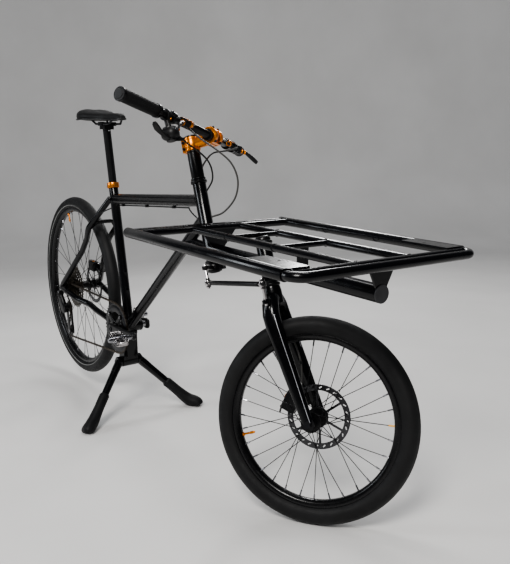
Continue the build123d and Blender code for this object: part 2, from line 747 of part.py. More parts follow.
def shifter_body():
    point = along_bar(-1, SHIFTER_AT)[0]
    centre, way, up = shifter_centre()
    clamp = rod(point - way * 5, point + way * 5, TUBE_BAR_R + 4)
    housing = rod(centre - up * 9, centre + up * 9, 17)
    strut = rod(point - up * 10, centre + up * 4, 6)
    bore = rod(point - way * 20, point + way * 20, TUBE_BAR_R + SHELF)
    return housing + strut + clamp - bore


def shifter_lever():
    centre, way, up = shifter_centre()
    low = centre - up * 14.5
    hub = rod(centre - up * 18, centre - up * (9 + RUNNING), 12)
    paddle = rod(low, low + way * 30 - Vector(20, 0, 0), 3.4)
    tip = rod(low + way * 25 - Vector(17, 0, 0), low + way * 38 - Vector(27, 0, 0), 5)
    return hub + paddle + tip


def tie_rod_arm(at, thick, clamp_r, bore_r, hole_r):
    """Arm that points to the right, with a clamp or boss at its root."""
    root = Pos(0, 0, at) * Cylinder(clamp_r, thick + 8)
    bar = Pos(0, -ARM_LENGTH / 2, at) * Box(15, ARM_LENGTH, thick - 2)
    eye = Pos(0, -ARM_LENGTH, at) * Cylinder(9, thick - 2)
    hole = Pos(0, -ARM_LENGTH, at) * Cylinder(hole_r, 40)
    bore = Pos(0, 0, at) * Cylinder(bore_r, 60)
    return root + bar + eye - hole - bore


def column_arm():
    ear = Pos(22, 0, ARM_LOCAL_Z) * Box(18, 18, 14)
    slot = Pos(24, 0, ARM_LOCAL_Z) * Box(30, 2, 40)
    arm = tie_rod_arm(ARM_LOCAL_Z, ARM_THICK, 20, STEERER_R + SHELF, STUD_R + RUNNING)
    bore = Pos(0, 0, ARM_LOCAL_Z) * Cylinder(STEERER_R + SHELF, 60)
    return column_local(arm + ear - slot - bore)


# ---------------------------------------------------------------------------
# Tie rod
# ---------------------------------------------------------------------------
EYE_HALF = 6.0


def rod_stud(plane, low, high, eye_at):
    """Threaded stud with a collar and a nut each side of the rod eye."""
    stud = Pos(0, -ARM_LENGTH, low) * Cylinder(STUD_R, high - low, align=ON_BASE)
    for gap in (-EYE_HALF - 3.5, EYE_HALF + 3.5):
        stud = stud + Pos(0, -ARM_LENGTH, eye_at + gap) * Cylinder(6.5, 6)
    return plane * stud


def rod_studs():
    rear = rod_stud(COLUMN, ROD_LOCAL_Z - 16, ARM_LOCAL_Z + 9, ROD_LOCAL_Z)
    front = rod_stud(FORK, FORK_ARM_Z - 9, FORK_ROD_Z + 14, FORK_ROD_Z)
    return [rear, front]


def rod_joint(plane, height):
    spot = plane * Pos(0, -ARM_LENGTH, height)
    return spot.position


def rod_ends():
    rear, front = rod_joint(COLUMN, ROD_LOCAL_Z), rod_joint(FORK, FORK_ROD_Z)
    way = (front - rear).normalized()
    ends = []
    both_ends = ((COLUMN, ROD_LOCAL_Z, rear, way), (FORK, FORK_ROD_Z, front, way * -1))
    for plane, height, centre, outward in both_ends:
        eye = plane * (Pos(0, -ARM_LENGTH, height) * Cylinder(9, 2 * EYE_HALF))
        shank = rod(centre, centre + outward * 34, 5)
        hole = plane * (Pos(0, -ARM_LENGTH, height) * Cylinder(STUD_R + SHELF, 40))
        collar_low = plane * (Pos(0, -ARM_LENGTH, height - EYE_HALF - 3.6) * Cylinder(6.5 + 0.3, 6.9))
        collar_high = plane * (Pos(0, -ARM_LENGTH, height + EYE_HALF + 3.6) * Cylinder(6.5 + 0.3, 6.9))
        ends.append(eye + shank - hole - collar_low - collar_high)
    return ends


def tie_rod():
    rear, front = rod_joint(COLUMN, ROD_LOCAL_Z), rod_joint(FORK, FORK_ROD_Z)
    way = (front - rear).normalized()
    body = rod(rear + way * 16, front - way * 16, 6.5)
    for centre, outward in ((rear, way), (front, way * -1)):
        body = body - rod(centre - outward * 5, centre + outward * 36, 5 + SHELF)
    return body


# ---------------------------------------------------------------------------
# Fork, built on the front steering axis; its foot is level with the axle
# ---------------------------------------------------------------------------
CROWN_TOP = FRONT_CUP_LOCAL[0] - CUP_HEIGHT - 0.3
LEG_TOP = (0.0, 43.0, 262.0)
LEG_FOOT = (FORK_RAKE, 56.0, 4.0)


def fork_leg():
    top, foot = Vector(*LEG_TOP), Vector(*LEG_FOOT)
    way = foot - top
    return loft([
        Plane(origin=top, x_dir=(1, 0, 0), z_dir=way) * Ellipse(19.5, 13),
        Plane(origin=top + way * 0.45, x_dir=(1, 0, 0), z_dir=way) * Ellipse(18, 12.5),
        Plane(origin=foot, x_dir=(1, 0, 0), z_dir=way) * Ellipse(13, 8),
    ])


def fork():
    top = CROWN_TOP
    steerer = Pos(0, 0, top - 20) * Cylinder(STEERER_R, 456 - top + 20, align=ON_BASE)
    crown = revolved([(0, 292), (24, 292), (23, top - 12), (21, top), (0, top)])
    arch = pipe(((0, -43, 250), (0, -36, 304), (0, 36, 304), (0, 43, 250)), 15.5, 30)
    leg = fork_leg()
    tip = rod((FORK_RAKE, FRONT_HUB_HALF + SHELF, 0), (FORK_RAKE, FRONT_HUB_HALF + 10, 0), 16)
    caliper_mount = block(FORK_RAKE - 32, FRONT_HUB_HALF + 5.5, 52, 34, 8.5, 44)
    left = leg + tip + caliper_mount
    bar = Pos(0, -ARM_LENGTH / 2, FORK_ARM_Z) * Box(15, ARM_LENGTH, ARM_THICK - 2)
    eye = Pos(0, -ARM_LENGTH, FORK_ARM_Z) * Cylinder(9, ARM_THICK - 2)
    stud_hole = Pos(0, -ARM_LENGTH, FORK_ARM_Z) * Cylinder(STUD_R + OPEN_PIVOT, 40)
    body = steerer + crown + arch + left + mirrored(leg + tip) + bar + eye - stud_hole
    for side in (-1, 1):
        seat = sorted((side * (FRONT_HUB_HALF + 10), side * 90))
        body = body - rod((FORK_RAKE, seat[0], 0), (FORK_RAKE, seat[1], 0), 10)
    axle = rod((FORK_RAKE, -90, 0), (FORK_RAKE, 90, 0), AXLE_R + SHELF)
    tyre = rod((FORK_RAKE, -28, 0), (FORK_RAKE, 28, 0), FRONT_TYRE_R + 5)
    inside = rod((FORK_RAKE, -FRONT_HUB_HALF, 0), (FORK_RAKE, FRONT_HUB_HALF, 0), 30)
    bore = Pos(0, 0, 300) * Cylinder(STEERER_R - 2.5, 140, align=ON_BASE)
    return FORK * (body - axle - tyre - inside - bore)


def fork_cap():
    return FORK * revolved([
        (STEERER_R + SHELF, 450), (CUP_R - 3, 450), (CUP_R - 4, 456), (17, 459), (14, 461),
        (0, 461), (0, 456 + SHELF), (STEERER_R + SHELF, 456 + SHELF),
    ])


def front_axle():
    shaft = rod((0, -62, 0), (0, 62, 0), AXLE_R)
    heads = rod((0, -66, 0), (0, -60.1, 0), 8.5) + rod((0, 60.1, 0), (0, 66, 0), 8.5)
    return FRONT_WHEEL * (shaft + heads)


def rear_axle():
    shaft = rod((0, -81, 0), (0, 81, 0), AXLE_R)
    heads = rod((0, -85, 0), (0, -79.1, 0), 9) + rod((0, 79.1, 0), (0, 85, 0), 9)
    return REAR_WHEEL * (shaft + heads)


# ---------------------------------------------------------------------------
# Wheels, built about Y and then moved to their axles
# ---------------------------------------------------------------------------
RIM_HALF = 13.5
RIM_FLANGE = 6.0
RIM_DEPTH = 12.0
SPOKE_R = 1.0
FLANGE_THICK = 3.0
SPOKE_STANDOFF = 1.1


def about_y(shape):
    return Rot(90, 0, 0) * shape


def tyre(radius, section, bead):
    core = radius - section
    ring = Torus(core, section) - Torus(core, section - 3)
    return about_y(ring - Cylinder(bead + RIM_FLANGE + SHELF, 80))


def rim(bead):
    top, low = bead + RIM_FLANGE, bead - RIM_DEPTH
    return about_y(revolved([
        (low, -5), (low + 4, -11), (bead, -RIM_HALF), (top, -RIM_HALF), (top, -RIM_HALF + 2),
        (bead + 1, -RIM_HALF + 2.5), (bead - 2, -6), (bead - 2, 6), (bead + 1, RIM_HALF - 2.5),
        (top, RIM_HALF - 2), (top, RIM_HALF), (bead, RIM_HALF), (low + 4, 11), (low, 5),
    ]))


def spokes(bead, left, right, flange_r, crossing):
    """Laced spokes with nipples; heads alternate inside and outside each flange."""
    rim_r = bead - RIM_DEPTH - SHELF
    solids = []
    for index in range(SPOKES):
        side = 1 if index % 2 == 0 else -1
        pair = (index // 2) % 2
        offset = left if side > 0 else right
        face = offset + side * (1 if pair else -1) * (FLANGE_THICK / 2 + SPOKE_R + SPOKE_STANDOFF)
        rim_angle = 2 * math.pi * index / SPOKES
        lead = (1 if pair else -1) * crossing
        hub_angle = rim_angle + lead
        hub = Vector(flange_r * math.cos(hub_angle), face, flange_r * math.sin(hub_angle))
        end = Vector(rim_r * math.cos(rim_angle), side * 3.0, rim_r * math.sin(rim_angle))
        way = (end - hub).normalized()
        solids.append(rod(hub, end - way * 0.4, SPOKE_R) + rod(end - way * 13, end - way * 0.8, 2.0))
    return solids


def hub_shell(half, left, right, flange_r, barrel_r, rotor_at, drive_end):
    """Shell with two spoke flanges, a rotor seat on the left and a bored centre."""
    t = FLANGE_THICK / 2
    profile = [
        (AXLE_R + RUNNING, -half), (11, -half), (11, drive_end), (barrel_r, drive_end),
        (barrel_r, right - t), (flange_r + 3, right - t), (flange_r + 3, right + t),
        (barrel_r, right + t), (barrel_r, left - t),
        (flange_r + 3, left - t), (flange_r + 3, left + t),
        (barrel_r, left + t), (barrel_r, rotor_at - 4), (17, rotor_at - 2), (17, rotor_at + 2),
        (11, rotor_at + 5), (11, half), (AXLE_R + RUNNING, half),
    ]
    return Rot(-90, 0, 0) * revolved(profile)


def rotor(at):
    """Slotted disc with a curved-arm carrier, on the wheel's left side."""
    ring = Cylinder(ROTOR_R, 1.8) - Cylinder(ROTOR_R - 15, 4)
    carrier = Cylinder(25, 1.8) - Cylinder(17 + SHELF, 4)
    disc = ring + carrier
    for index in range(6):
        bar = Box(52, 6, 1.8, align=(Align.MIN, Align.CENTER, Align.CENTER))
        arm = Rot(0, 0, 60 * index) * Pos(21, 9, 0) * Rot(0, 0, 22) * bar
        disc = disc + arm
    disc = disc - Cylinder(17 + SHELF, 4)
    for index in range(24):
        slot = Rot(0, 0, 15 * index) * Pos(ROTOR_R - 7.5, 0, 0) * Rot(0, 0, 35) * Box(3, 8, 4)
        disc = disc - slot
    return Pos(0, at, 0) * about_y(disc)


def valve(bead):
    stem_shape = Cylinder(3, 34, align=(Align.CENTER, Align.CENTER, Align.MAX))
    return Pos(0, 0, -(bead - RIM_DEPTH - SHELF)) * Rot(180, 0, 0) * stem_shape


FRONT_FLANGES = (20.0, -33.0)
REAR_FLANGES = (34.0, -17.0)
FRONT_ROTOR_Y = 38.0
REAR_ROTOR_Y = 57.0
FRONT_VALVE_TURN = 82.0
REAR_VALVE_TURN = 160.0


def spin(turn):
    return Rot(0, turn, 0)


def front_wheel_pieces():
    left, right = FRONT_FLANGES
    half = FRONT_HUB_HALF - 0.3
    yield "front_tyre", [tyre(FRONT_TYRE_R, FRONT_SECTION, FRONT_BEAD_R)]
    yield "front_rim", [rim(FRONT_BEAD_R)]
    yield "front_spokes", spokes(FRONT_BEAD_R, left, right, 22, 0.95)
    yield "front_hub", [hub_shell(half, left, right, 22, 12, FRONT_ROTOR_Y, right - 8)]
    yield "front_rotor", [rotor(FRONT_ROTOR_Y)]
    yield "front_valve", [spin(FRONT_VALVE_TURN) * valve(FRONT_BEAD_R)]


def rear_wheel_pieces():
    left, right = REAR_FLANGES
    half = REAR_HUB_HALF - 0.3
    yield "rear_tyre", [tyre(REAR_TYRE_R, REAR_SECTION, REAR_BEAD_R)]
    yield "rear_rim", [rim(REAR_BEAD_R)]
    yield "rear_spokes", spokes(REAR_BEAD_R, left, right, 24, 0.95)
    yield "rear_hub", [hub_shell(half, left, right, 24, 15, REAR_ROTOR_Y, right - 4.5)]
    yield "rear_rotor", [rotor(REAR_ROTOR_Y)]
    yield "rear_valve", [spin(REAR_VALVE_TURN) * valve(REAR_BEAD_R)]


# ---------------------------------------------------------------------------
# Brakes on the fork and frame
# ---------------------------------------------------------------------------
CALIPER_WIDTH = 26.0


def caliper(turn, at_y):
    """Block over the rotor's edge with a slot for the disc, at an angle round it."""
    radius = ROTOR_R - 6
    body = Pos(radius, 0, 0) * Box(34, CALIPER_WIDTH, 52) - Pos(radius - 10, 0, 0) * Box(42, 4.4, 60)
    return Rot(0, turn, 0) * Pos(0, at_y, 0) * body


# ---------------------------------------------------------------------------
# Drivetrain
# ---------------------------------------------------------------------------
def pitch_radius(teeth):
    return teeth * CHAIN_PITCH / (2 * math.pi)


ROOT_DEPTH = 4.3
CHAIN_HALF = 4.0
CHAIN_WIDTH = 4.4
GUIDE_PULLEY = (-986.0, 238.0)
TENSION_PULLEY = (-972.0, 140.0)
SPROCKET_SIZES = (11, 13, 15, 17, 19, 21, 24, 28, 32, 37, 42)
SPROCKET_PITCH = 3.7
SMALL_SPROCKET_Y = 60.0


def chain_frame():
    skew = math.radians(CHAIN_SKEW)
    return Plane(
        origin=(BOTTOM_BRACKET[0], -CHAINLINE, BOTTOM_BRACKET[1]),
        x_dir=(math.cos(skew), math.sin(skew), 0), z_dir=(math.sin(skew), -math.cos(skew), 0),
    )


def chain_circles():
    """Centre, radius and sense of every wheel the chain runs round."""
    small, large = pitch_radius(SPROCKET_TEETH), pitch_radius(CHAINRING_TEETH)
    bx, bz = BOTTOM_BRACKET
    return (
        ((0.0, 0.0), large, -1), ((TENSION_PULLEY[0] - bx, TENSION_PULLEY[1] - bz), small, -1),
        ((GUIDE_PULLEY[0] - bx, GUIDE_PULLEY[1] - bz), small, 1),
        ((REAR_AXLE[0] - bx, REAR_AXLE[1] - bz), small, -1),
    )


def belt_face(grow):
    """Closed loop round the chain's wheels, grown outward by the given amount."""
    circles = [(centre, sense * (radius - sense * grow)) for centre, radius, sense in chain_circles()]
    tangents = []
    for index, (centre, signed) in enumerate(circles):
        next_centre, next_signed = circles[(index + 1) % len(circles)]
        dx, dz = next_centre[0] - centre[0], next_centre[1] - centre[1]
        heading = math.atan2(dz, dx) - math.asin((next_signed - signed) / math.hypot(dx, dz))
        nx, nz = -math.sin(heading), math.cos(heading)
        start = (centre[0] - nx * signed, centre[1] - nz * signed)
        end = (next_centre[0] - nx * next_signed, next_centre[1] - nz * next_signed)
        tangents.append((start, end))
    edges = []
    for index, (start, end) in enumerate(tangents):
        centre, signed = circles[(index + 1) % len(circles)]
        leave = tangents[(index + 1) % len(tangents)][0]
        first = math.atan2(end[1] - centre[1], end[0] - centre[0])
        last = math.atan2(leave[1] - centre[1], leave[0] - centre[0])
        turn = (last - first) % (2 * math.pi)
        if signed < 0:
            turn -= 2 * math.pi
        middle = first + turn / 2
        via = (centre[0] + abs(signed) * math.cos(middle), centre[1] + abs(signed) * math.sin(middle))
        edges.append(Line(start, end))
        edges.append(ThreePointArc(end, via, leave))
    return make_face(edges)


def chain():
    band = belt_face(CHAIN_HALF) - belt_face(-CHAIN_HALF)
    return chain_frame() * Pos(0, 0, -CHAIN_WIDTH / 2) * extrude(band, CHAIN_WIDTH)


def cassette():
    cogs = []
    for index, teeth in enumerate(SPROCKET_SIZES):
        at = SMALL_SPROCKET_Y - SPROCKET_PITCH * index
        radius = pitch_radius(teeth) - ROOT_DEPTH
        cogs.append(rod((0, -at - 0.8, 0), (0, -at + 0.8, 0), radius))
    core = rod((0, -SMALL_SPROCKET_Y - 3, 0), (0, -SMALL_SPROCKET_Y + 37, 0), 15)
    stack = core
    for cog in cogs:
        stack = stack + cog
    return REAR_WHEEL * (stack - rod((0, -90, 0), (0, 0, 0), 11 + RUNNING))


def pulley(centre):
    x, z = centre
    offset = CHAINLINE - (x - BOTTOM_BRACKET[0]) * math.tan(math.radians(CHAIN_SKEW))
    disc = across(x, z, pitch_radius(11) - ROOT_DEPTH, -offset - 1.4, -offset + 1.4)
    hub = across(x, z, 6, -offset - 3, -offset + 3)
    return disc + hub - across(x, z, 2.5 + RUNNING, -offset - 10, -offset + 10)


def derailleur():
    """Cage plates each side of the pulleys, pulley bolts, knuckle and hanger."""
    x_guide, z_guide = GUIDE_PULLEY
    x_tension, z_tension = TENSION_PULLEY
    y_guide = CHAINLINE - (x_guide - BOTTOM_BRACKET[0]) * math.tan(math.radians(CHAIN_SKEW))
    plates = []
    for side in (-1, 1):
        face = -y_guide + side * 6.0
        plate = across(x_guide, z_guide, 9, face - 1, face + 1)
        plate = plate + across(x_tension, z_tension, 9, face - 1, face + 1)
        middle = ((x_guide + x_tension) / 2, (z_guide + z_tension) / 2)
        tilt = math.degrees(math.atan2(x_tension - x_guide, z_guide - z_tension))
        plate = plate + Pos(middle[0], face, middle[1]) * Rot(0, -tilt, 0) * Box(12, 2, 100)
        plates.append(plate)
    body = plates[0] + plates[1]
    for x, z in (GUIDE_PULLEY, TENSION_PULLEY):
        body = body + across(x, z, 2.5, -y_guide - 7, -y_guide + 7)
    knuckle = across(x_guide, z_guide, 15, -y_guide - 24, -y_guide - 6.5)
    arm = pipe(
        ((x_guide, -y_guide - 16, z_guide), (x_guide - 30, -y_guide - 20, z_guide + 30),
         (REAR_AXLE[0] - 14, -87, REAR_AXLE[1] - 24)), 9, 12,
    )
    mount = across(REAR_AXLE[0] - 14, REAR_AXLE[1] - 24, 10, -90, -REAR_HUB_HALF - 0.1)
    outside = -REAR_HUB_HALF - DROPOUT_THICK - SHELF
    frame_gap = across(*REAR_AXLE, DROPOUT_R + SHELF, outside, -REAR_HUB_HALF + 1)
    nut_gap = across(*REAR_AXLE, 10, -90, -70)
    return body + knuckle + arm + mount - frame_gap - nut_gap


def crank_arm(outer_y, side):
    """Arm with bosses at both ends, in the crank's frame."""
    inner = side * (outer_y - 13)
    outer = side * outer_y
    low, high = min(inner, outer), max(inner, outer)
    far = -side * CRANK_LENGTH
    hub = rod((0, low, 0), (0, high, 0), 19)
    end = rod((far, low, 0), (far, high, 0), 14.5)
    web = make_face(Polyline(
        (0, low, -16), (0, low, 16), (far, low, 12.5), (far, low, -12.5), close=True
    ))
    return hub + end + extrude(web, high - low, dir=(0, 1, 0))


PEDAL_AXLE_R = 5.0
PEDAL_INNER = 77.0
PEDAL_OUTER = 151.0


def crank_arm_right():
    arm = crank_arm(72, -1)
    spindle = rod((0, -60, 0), (0, 58 - SHELF, 0), SPINDLE_R)
    spider = rod((0, -58.5, 0), (0, -51.5 - SHELF, 0), 30)
    for index in range(4):
        spoke_arm = Rot(0, 45 + 90 * index, 0) * block(38, -54.5, 0, 34, 5, 16)
        spider = spider + spoke_arm
    axle = rod((CRANK_LENGTH, -PEDAL_OUTER, 0), (CRANK_LENGTH, -70, 0), PEDAL_AXLE_R)
    return CRANK * (arm + spindle + spider + axle)


def crank_arm_left():
    arm = crank_arm(72, 1)
    axle = rod((-CRANK_LENGTH, 70, 0), (-CRANK_LENGTH, PEDAL_OUTER, 0), PEDAL_AXLE_R)
    return CRANK * (arm + axle - rod((0, 40, 0), (0, 58 + SHELF, 0), SPINDLE_R + SHELF))


def chainring():
    radius = pitch_radius(CHAINRING_TEETH) - ROOT_DEPTH
    ring = rod((0, -51.5, 0), (0, -48.5, 0), radius) - rod((0, -53, 0), (0, -47, 0), 46)
    return CRANK * ring


def pedal(side):
    """Platform pedal bored for its axle; side 1 is the left one."""
    x = -side * CRANK_LENGTH
    low, high = sorted((side * PEDAL_INNER, side * (PEDAL_OUTER + 4)))
    middle = side * (PEDAL_OUTER + PEDAL_INNER + 14) / 2
    deck = block(x, middle, 0, 72, PEDAL_OUTER - PEDAL_INNER - 8, 14)
    window = block(x + 20, middle, 0, 15, 46, 30) + block(x - 20, middle, 0, 15, 46, 30)
    barrel = rod((x, low, 0), (x, high, 0), 9.5)
    bore = rod((x, side * 60, 0), (x, side * (PEDAL_OUTER + 0.3), 0), PEDAL_AXLE_R + RUNNING)
    tilt = Pos(x, 0, 0) * Rot(0, PEDAL_TILT[side], 0) * Pos(-x, 0, 0)
    return CRANK * tilt * (deck + barrel - window - bore)


PEDAL_TILT = {-1: 25.0, 1: -70.0}


# ---------------------------------------------------------------------------
# Cables and hoses that lie on one body
# ---------------------------------------------------------------------------
CABLE_R = 2.2


def frame_cables():
    """Gear cable under the top tube and down the right seat stay, and its clips."""
    under = TOP_TUBE_R + CABLE_R + 1.5
    ends = [Vector(*point) for point in TOP_TUBE_ENDS]
    slope = (ends[1] - ends[0]).normalized()
    drop = Vector(slope.Z, 0, -slope.X)
    run = [ends[0] + slope * step + drop * under for step in (40, 280, 520)]
    cable = pipe([run[0], run[1] - drop * 0.01, run[2]], CABLE_R, 5)
    clips = []
    for step in (70, 250, 430):
        at = ends[0] + slope * step + drop * (TOP_TUBE_R + 3.6)
        clip = Plane(origin=at, x_dir=slope, z_dir=drop) * Box(12, 9, 7.1)
        clips.append(clip - pipe([run[0], run[1] - drop * 0.01, run[2]], CABLE_R + SHELF, 5)
                     - rod(ends[0], ends[1], TOP_TUBE_R + SHELF))
    return [cable] + clips


# ---------------------------------------------------------------------------
# Write every node
# ---------------------------------------------------------------------------
def build_frame_body():
    save("main_frame", main_frame())
    save("cargo_deck", cargo_deck())
    save("boom_cap", boom_cap())
    save("headset_cups", *headset_cups())
    save("bb_cups", *bb_cups())
    save("seat_clamp", seat_clamp())
    save("rear_axle", rear_axle())
    save("rear_caliper", REAR_WHEEL * caliper(-88, REAR_ROTOR_Y))
    save("derailleur", derailleur())
    save("chain", chain())
    save("stand_bracket", stand_bracket())
    save("frame_cables", *frame_cables())


def build_column_body():
    save("steering_column", steering_column())
    save("column_spacers", *column_spacers())
    save("stem", stem())
    save("stem_faceplate", stem_faceplate())
    save("stem_bolts", *stem_bolts())
    save("stem_cap", stem_cap())
    save("handlebar", handlebar())
    save("grips", *grips())
    save("brake_bodies", *[column_local(brake_body(side)) for side in (-1, 1)])
    save("reservoir_caps", *[column_local(reservoir_cap(side)) for side in (-1, 1)])
    save("shifter_body", column_local(shifter_body()))
    save("column_arm", column_arm())


def build_moving_cockpit():
    save("brake_lever_right", column_local(brake_lever(-1)))
    save("brake_lever_left", column_local(brake_lever(1)))
    save("shifter_lever", column_local(shifter_lever()))
    save("rod_studs", *rod_studs())
    save("rod_ends", *rod_ends())
    save("tie_rod", tie_rod())


def build_fork_body():
    save("fork", fork())
    save("fork_cap", fork_cap())
    save("front_axle", front_axle())
    save("front_caliper", FRONT_WHEEL * caliper(-142, FRONT_ROTOR_Y))


def build_wheels():
    for name, solids in front_wheel_pieces():
        save(name, *[FRONT_WHEEL * solid for solid in solids])
    for name, solids in rear_wheel_pieces():
        save(name, *[REAR_WHEEL * solid for solid in solids])


def build_drive_and_seat():
    save("cassette", cassette())
    save("guide_pulley", pulley(GUIDE_PULLEY))
    save("tension_pulley", pulley(TENSION_PULLEY))
    save("crank_arm_right", crank_arm_right())
    save("crank_arm_left", crank_arm_left())
    save("chainring", chainring())
    save("pedal_right", pedal(-1))
    save("pedal_left", pedal(1))
    save("stand_legs", stand_leg(), mirrored(stand_leg()))
    save("stand_boots", stand_boot(), mirrored(stand_boot()))
    save("stand_pin", stand_pin())
    save("seatpost", seatpost())
    save("saddle", saddle())
    save("saddle_rails", *saddle_rails())


build_frame_body()
build_column_body()
build_moving_cockpit()
build_fork_body()
build_wheels()
build_drive_and_seat()
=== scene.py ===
import json
from math import asin, atan2, copysign, cos, dist, exp, hypot, pi, radians, sin, sqrt, tan

import bmesh
import bpy
from mathutils import Matrix, Vector


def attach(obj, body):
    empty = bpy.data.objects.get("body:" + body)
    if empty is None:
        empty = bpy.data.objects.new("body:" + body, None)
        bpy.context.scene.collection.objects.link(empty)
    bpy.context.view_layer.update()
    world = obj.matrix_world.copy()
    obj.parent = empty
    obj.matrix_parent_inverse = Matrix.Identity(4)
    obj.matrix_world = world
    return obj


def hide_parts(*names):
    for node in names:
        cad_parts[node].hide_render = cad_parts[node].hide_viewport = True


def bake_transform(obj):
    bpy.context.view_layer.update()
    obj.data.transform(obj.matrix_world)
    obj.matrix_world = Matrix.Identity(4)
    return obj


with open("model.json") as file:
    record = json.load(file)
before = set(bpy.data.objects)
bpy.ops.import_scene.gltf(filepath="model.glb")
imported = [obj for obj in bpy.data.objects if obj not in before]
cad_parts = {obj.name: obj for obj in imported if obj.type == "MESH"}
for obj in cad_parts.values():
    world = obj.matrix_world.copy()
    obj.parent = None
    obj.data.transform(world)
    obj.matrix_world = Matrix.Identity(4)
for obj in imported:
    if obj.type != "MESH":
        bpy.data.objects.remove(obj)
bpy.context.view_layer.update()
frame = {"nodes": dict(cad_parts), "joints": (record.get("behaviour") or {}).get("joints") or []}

# Local frames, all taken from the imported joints. Local units are millimetres.
# Deck frame: X forward from the rear deck tube, Y to the left, Z off the deck.
MM = 0.001
JOINTS = {joint["name"]: joint for joint in frame["joints"]}
REAR_AXLE = Vector((-1001.6, 0, 315.4))
BOTTOM_BRACKET = Vector((-548.0, 0, 251.5))
CRANK_ANGLE = radians(5.0)


def axes(origin, x, y, z, scale=MM):
    rotation = Matrix((x, y, z)).transposed().to_4x4()
    return Matrix.Translation(origin) @ rotation @ Matrix.Diagonal((scale, scale, scale, 1))


def joint_place(name):
    return Vector(JOINTS[name]["pos_m"])


def nose_down():
    """How far the deck tips forward, from the two lower axles."""
    packed = joint_place("crank_spin") - joint_place("rear_wheel_spin")
    local = BOTTOM_BRACKET - REAR_AXLE
    return atan2(local.z, local.x) - atan2(packed.z, packed.x)


NOSE_DOWN = nose_down()
STEER_UP = Vector(JOINTS["column_steer"]["axis"]).normalized()
WHEEL_LEFT = Vector(JOINTS["front_wheel_spin"]["axis"]).normalized()
STEER_AHEAD = WHEEL_LEFT.cross(STEER_UP).normalized()
DECK_AXES = Matrix.Rotation(NOSE_DOWN, 3, "Y").transposed()
REAR_WHEEL = axes(joint_place("rear_wheel_spin"), *DECK_AXES)
DECK = REAR_WHEEL @ Matrix.Translation(-REAR_AXLE)
COLUMN = axes(joint_place("column_steer"), STEER_AHEAD, WHEEL_LEFT, STEER_UP)
FORK = axes(joint_place("fork_steer"), STEER_AHEAD, WHEEL_LEFT, STEER_UP)
FRONT_WHEEL = axes(joint_place("front_wheel_spin"), STEER_AHEAD, WHEEL_LEFT, STEER_UP)
CRANK = DECK @ Matrix.Translation(BOTTOM_BRACKET) @ Matrix.Rotation(-CRANK_ANGLE, 4, "Y")


# ---- Shapes: (points, faces, uv corners per face), in local millimetres ----
def skin(rings, around=True, along=False, caps=False):
    """Quads between rings of points; u runs along the rings and v around each one."""
    count, rows = len(rings[0]), len(rings)
    points = [Vector(p) for ring in rings for p in ring]
    faces, uvs = [], []
    for row in range(rows if along else rows - 1):
        for step in range(count if around else count - 1):
            after, above = (step + 1) % count, (row + 1) % rows
            faces.append((row * count + step, row * count + after,
                          above * count + after, above * count + step))
            u, v = row / rows, step / count
            du, dv = 1 / rows, 1 / count
            uvs.append(((u, v), (u, v + dv), (u + du, v + dv), (u + du, v)))
    if caps:
        for row in (0, rows - 1):
            face = tuple(range(row * count, (row + 1) * count))
            faces.append(face)
            uvs.append(tuple((0.5, 0.5) for _ in face))
    return points, faces, uvs


def join(*shapes):
    points, faces, uvs = [], [], []
    for shape in shapes:
        base = len(points)
        points.extend(shape[0])
        faces.extend(tuple(index + base for index in face) for face in shape[1])
        uvs.extend(shape[2])
    return points, faces, uvs


def moved(shape, matrix):
    return [matrix @ Vector(p) for p in shape[0]], shape[1], shape[2]


def at(x=0.0, y=0.0, z=0.0):
    return Matrix.Translation((x, y, z))


def turned(degrees, axis):
    return Matrix.Rotation(radians(degrees), 4, axis)


def circle(radius, steps, squash=1.0):
    turn = 2 * pi / steps
    return [(radius * cos(i * turn), squash * radius * sin(i * turn)) for i in range(steps)]


def lathe(profile, steps=64, closed=True):
    """Profile of (radius, height) turned about Y."""
    rings = []
    for index in range(steps):
        angle = 2 * pi * index / steps
        rings.append([(r * cos(angle), h, r * sin(angle)) for r, h in profile])
    return skin(rings, around=closed, along=True)


def rounded_path(points, bend=12.0, steps=5):
    """Polyline with each corner replaced by a short curve."""
    points = [Vector(p) for p in points]
    path = [points[0]]
    for before, corner, after in zip(points, points[1:], points[2:]):
        reach = min(bend, (corner - before).length * 0.48, (after - corner).length * 0.48)
        start = corner + (before - corner).normalized() * reach
        end = corner + (after - corner).normalized() * reach
        for index in range(steps + 1):
            t = index / steps
            path.append(start * (1 - t) ** 2 + corner * 2 * t * (1 - t) + end * t * t)
    return path + [points[-1]]


def flowing_path(points, steps=8):
    """Smooth curve through every point."""
    points = [Vector(p) for p in points]
    padded = [points[0] * 2 - points[1]] + points + [points[-1] * 2 - points[-2]]
    path = []
    for a, b, c, d in zip(padded, padded[1:], padded[2:], padded[3:]):
        for index in range(steps):
            t = index / steps
            path.append(0.5 * (2 * b + (c - a) * t + (2 * a - 5 * b + 4 * c - d) * t * t
                               + (3 * b - a - 3 * c + d) * t ** 3))
    return path + [points[-1]]


def tube(path, radius, sides=16, hint=(0, 0, 1), squash=1.0, loop=False, caps=True):
    """Sweep of a circle or ellipse; radius is a number or one value per point."""
    path = [Vector(p) for p in path]
    last = len(path) - 1
    radii = radius if isinstance(radius, (list, tuple)) else [radius] * len(path)
    side = None
    rings = []
    for index, point in enumerate(path):
        before = path[(index - 1) % len(path)] if loop else path[max(index - 1, 0)]
        after = path[(index + 1) % len(path)] if loop else path[min(index + 1, last)]
        ahead = (after - before).normalized()
        if side is None:
            side = ahead.cross(Vector(hint))
            if side.length < 0.1:
                side = ahead.cross(Vector((1, 0, 0)))
        side = (side - ahead * side.dot(ahead)).normalized()
        up = side.cross(ahead)
        rings.append([point + side * x + up * y for x, y in circle(radii[index], sides, squash)])
    return skin(rings, along=loop, caps=caps and not loop)


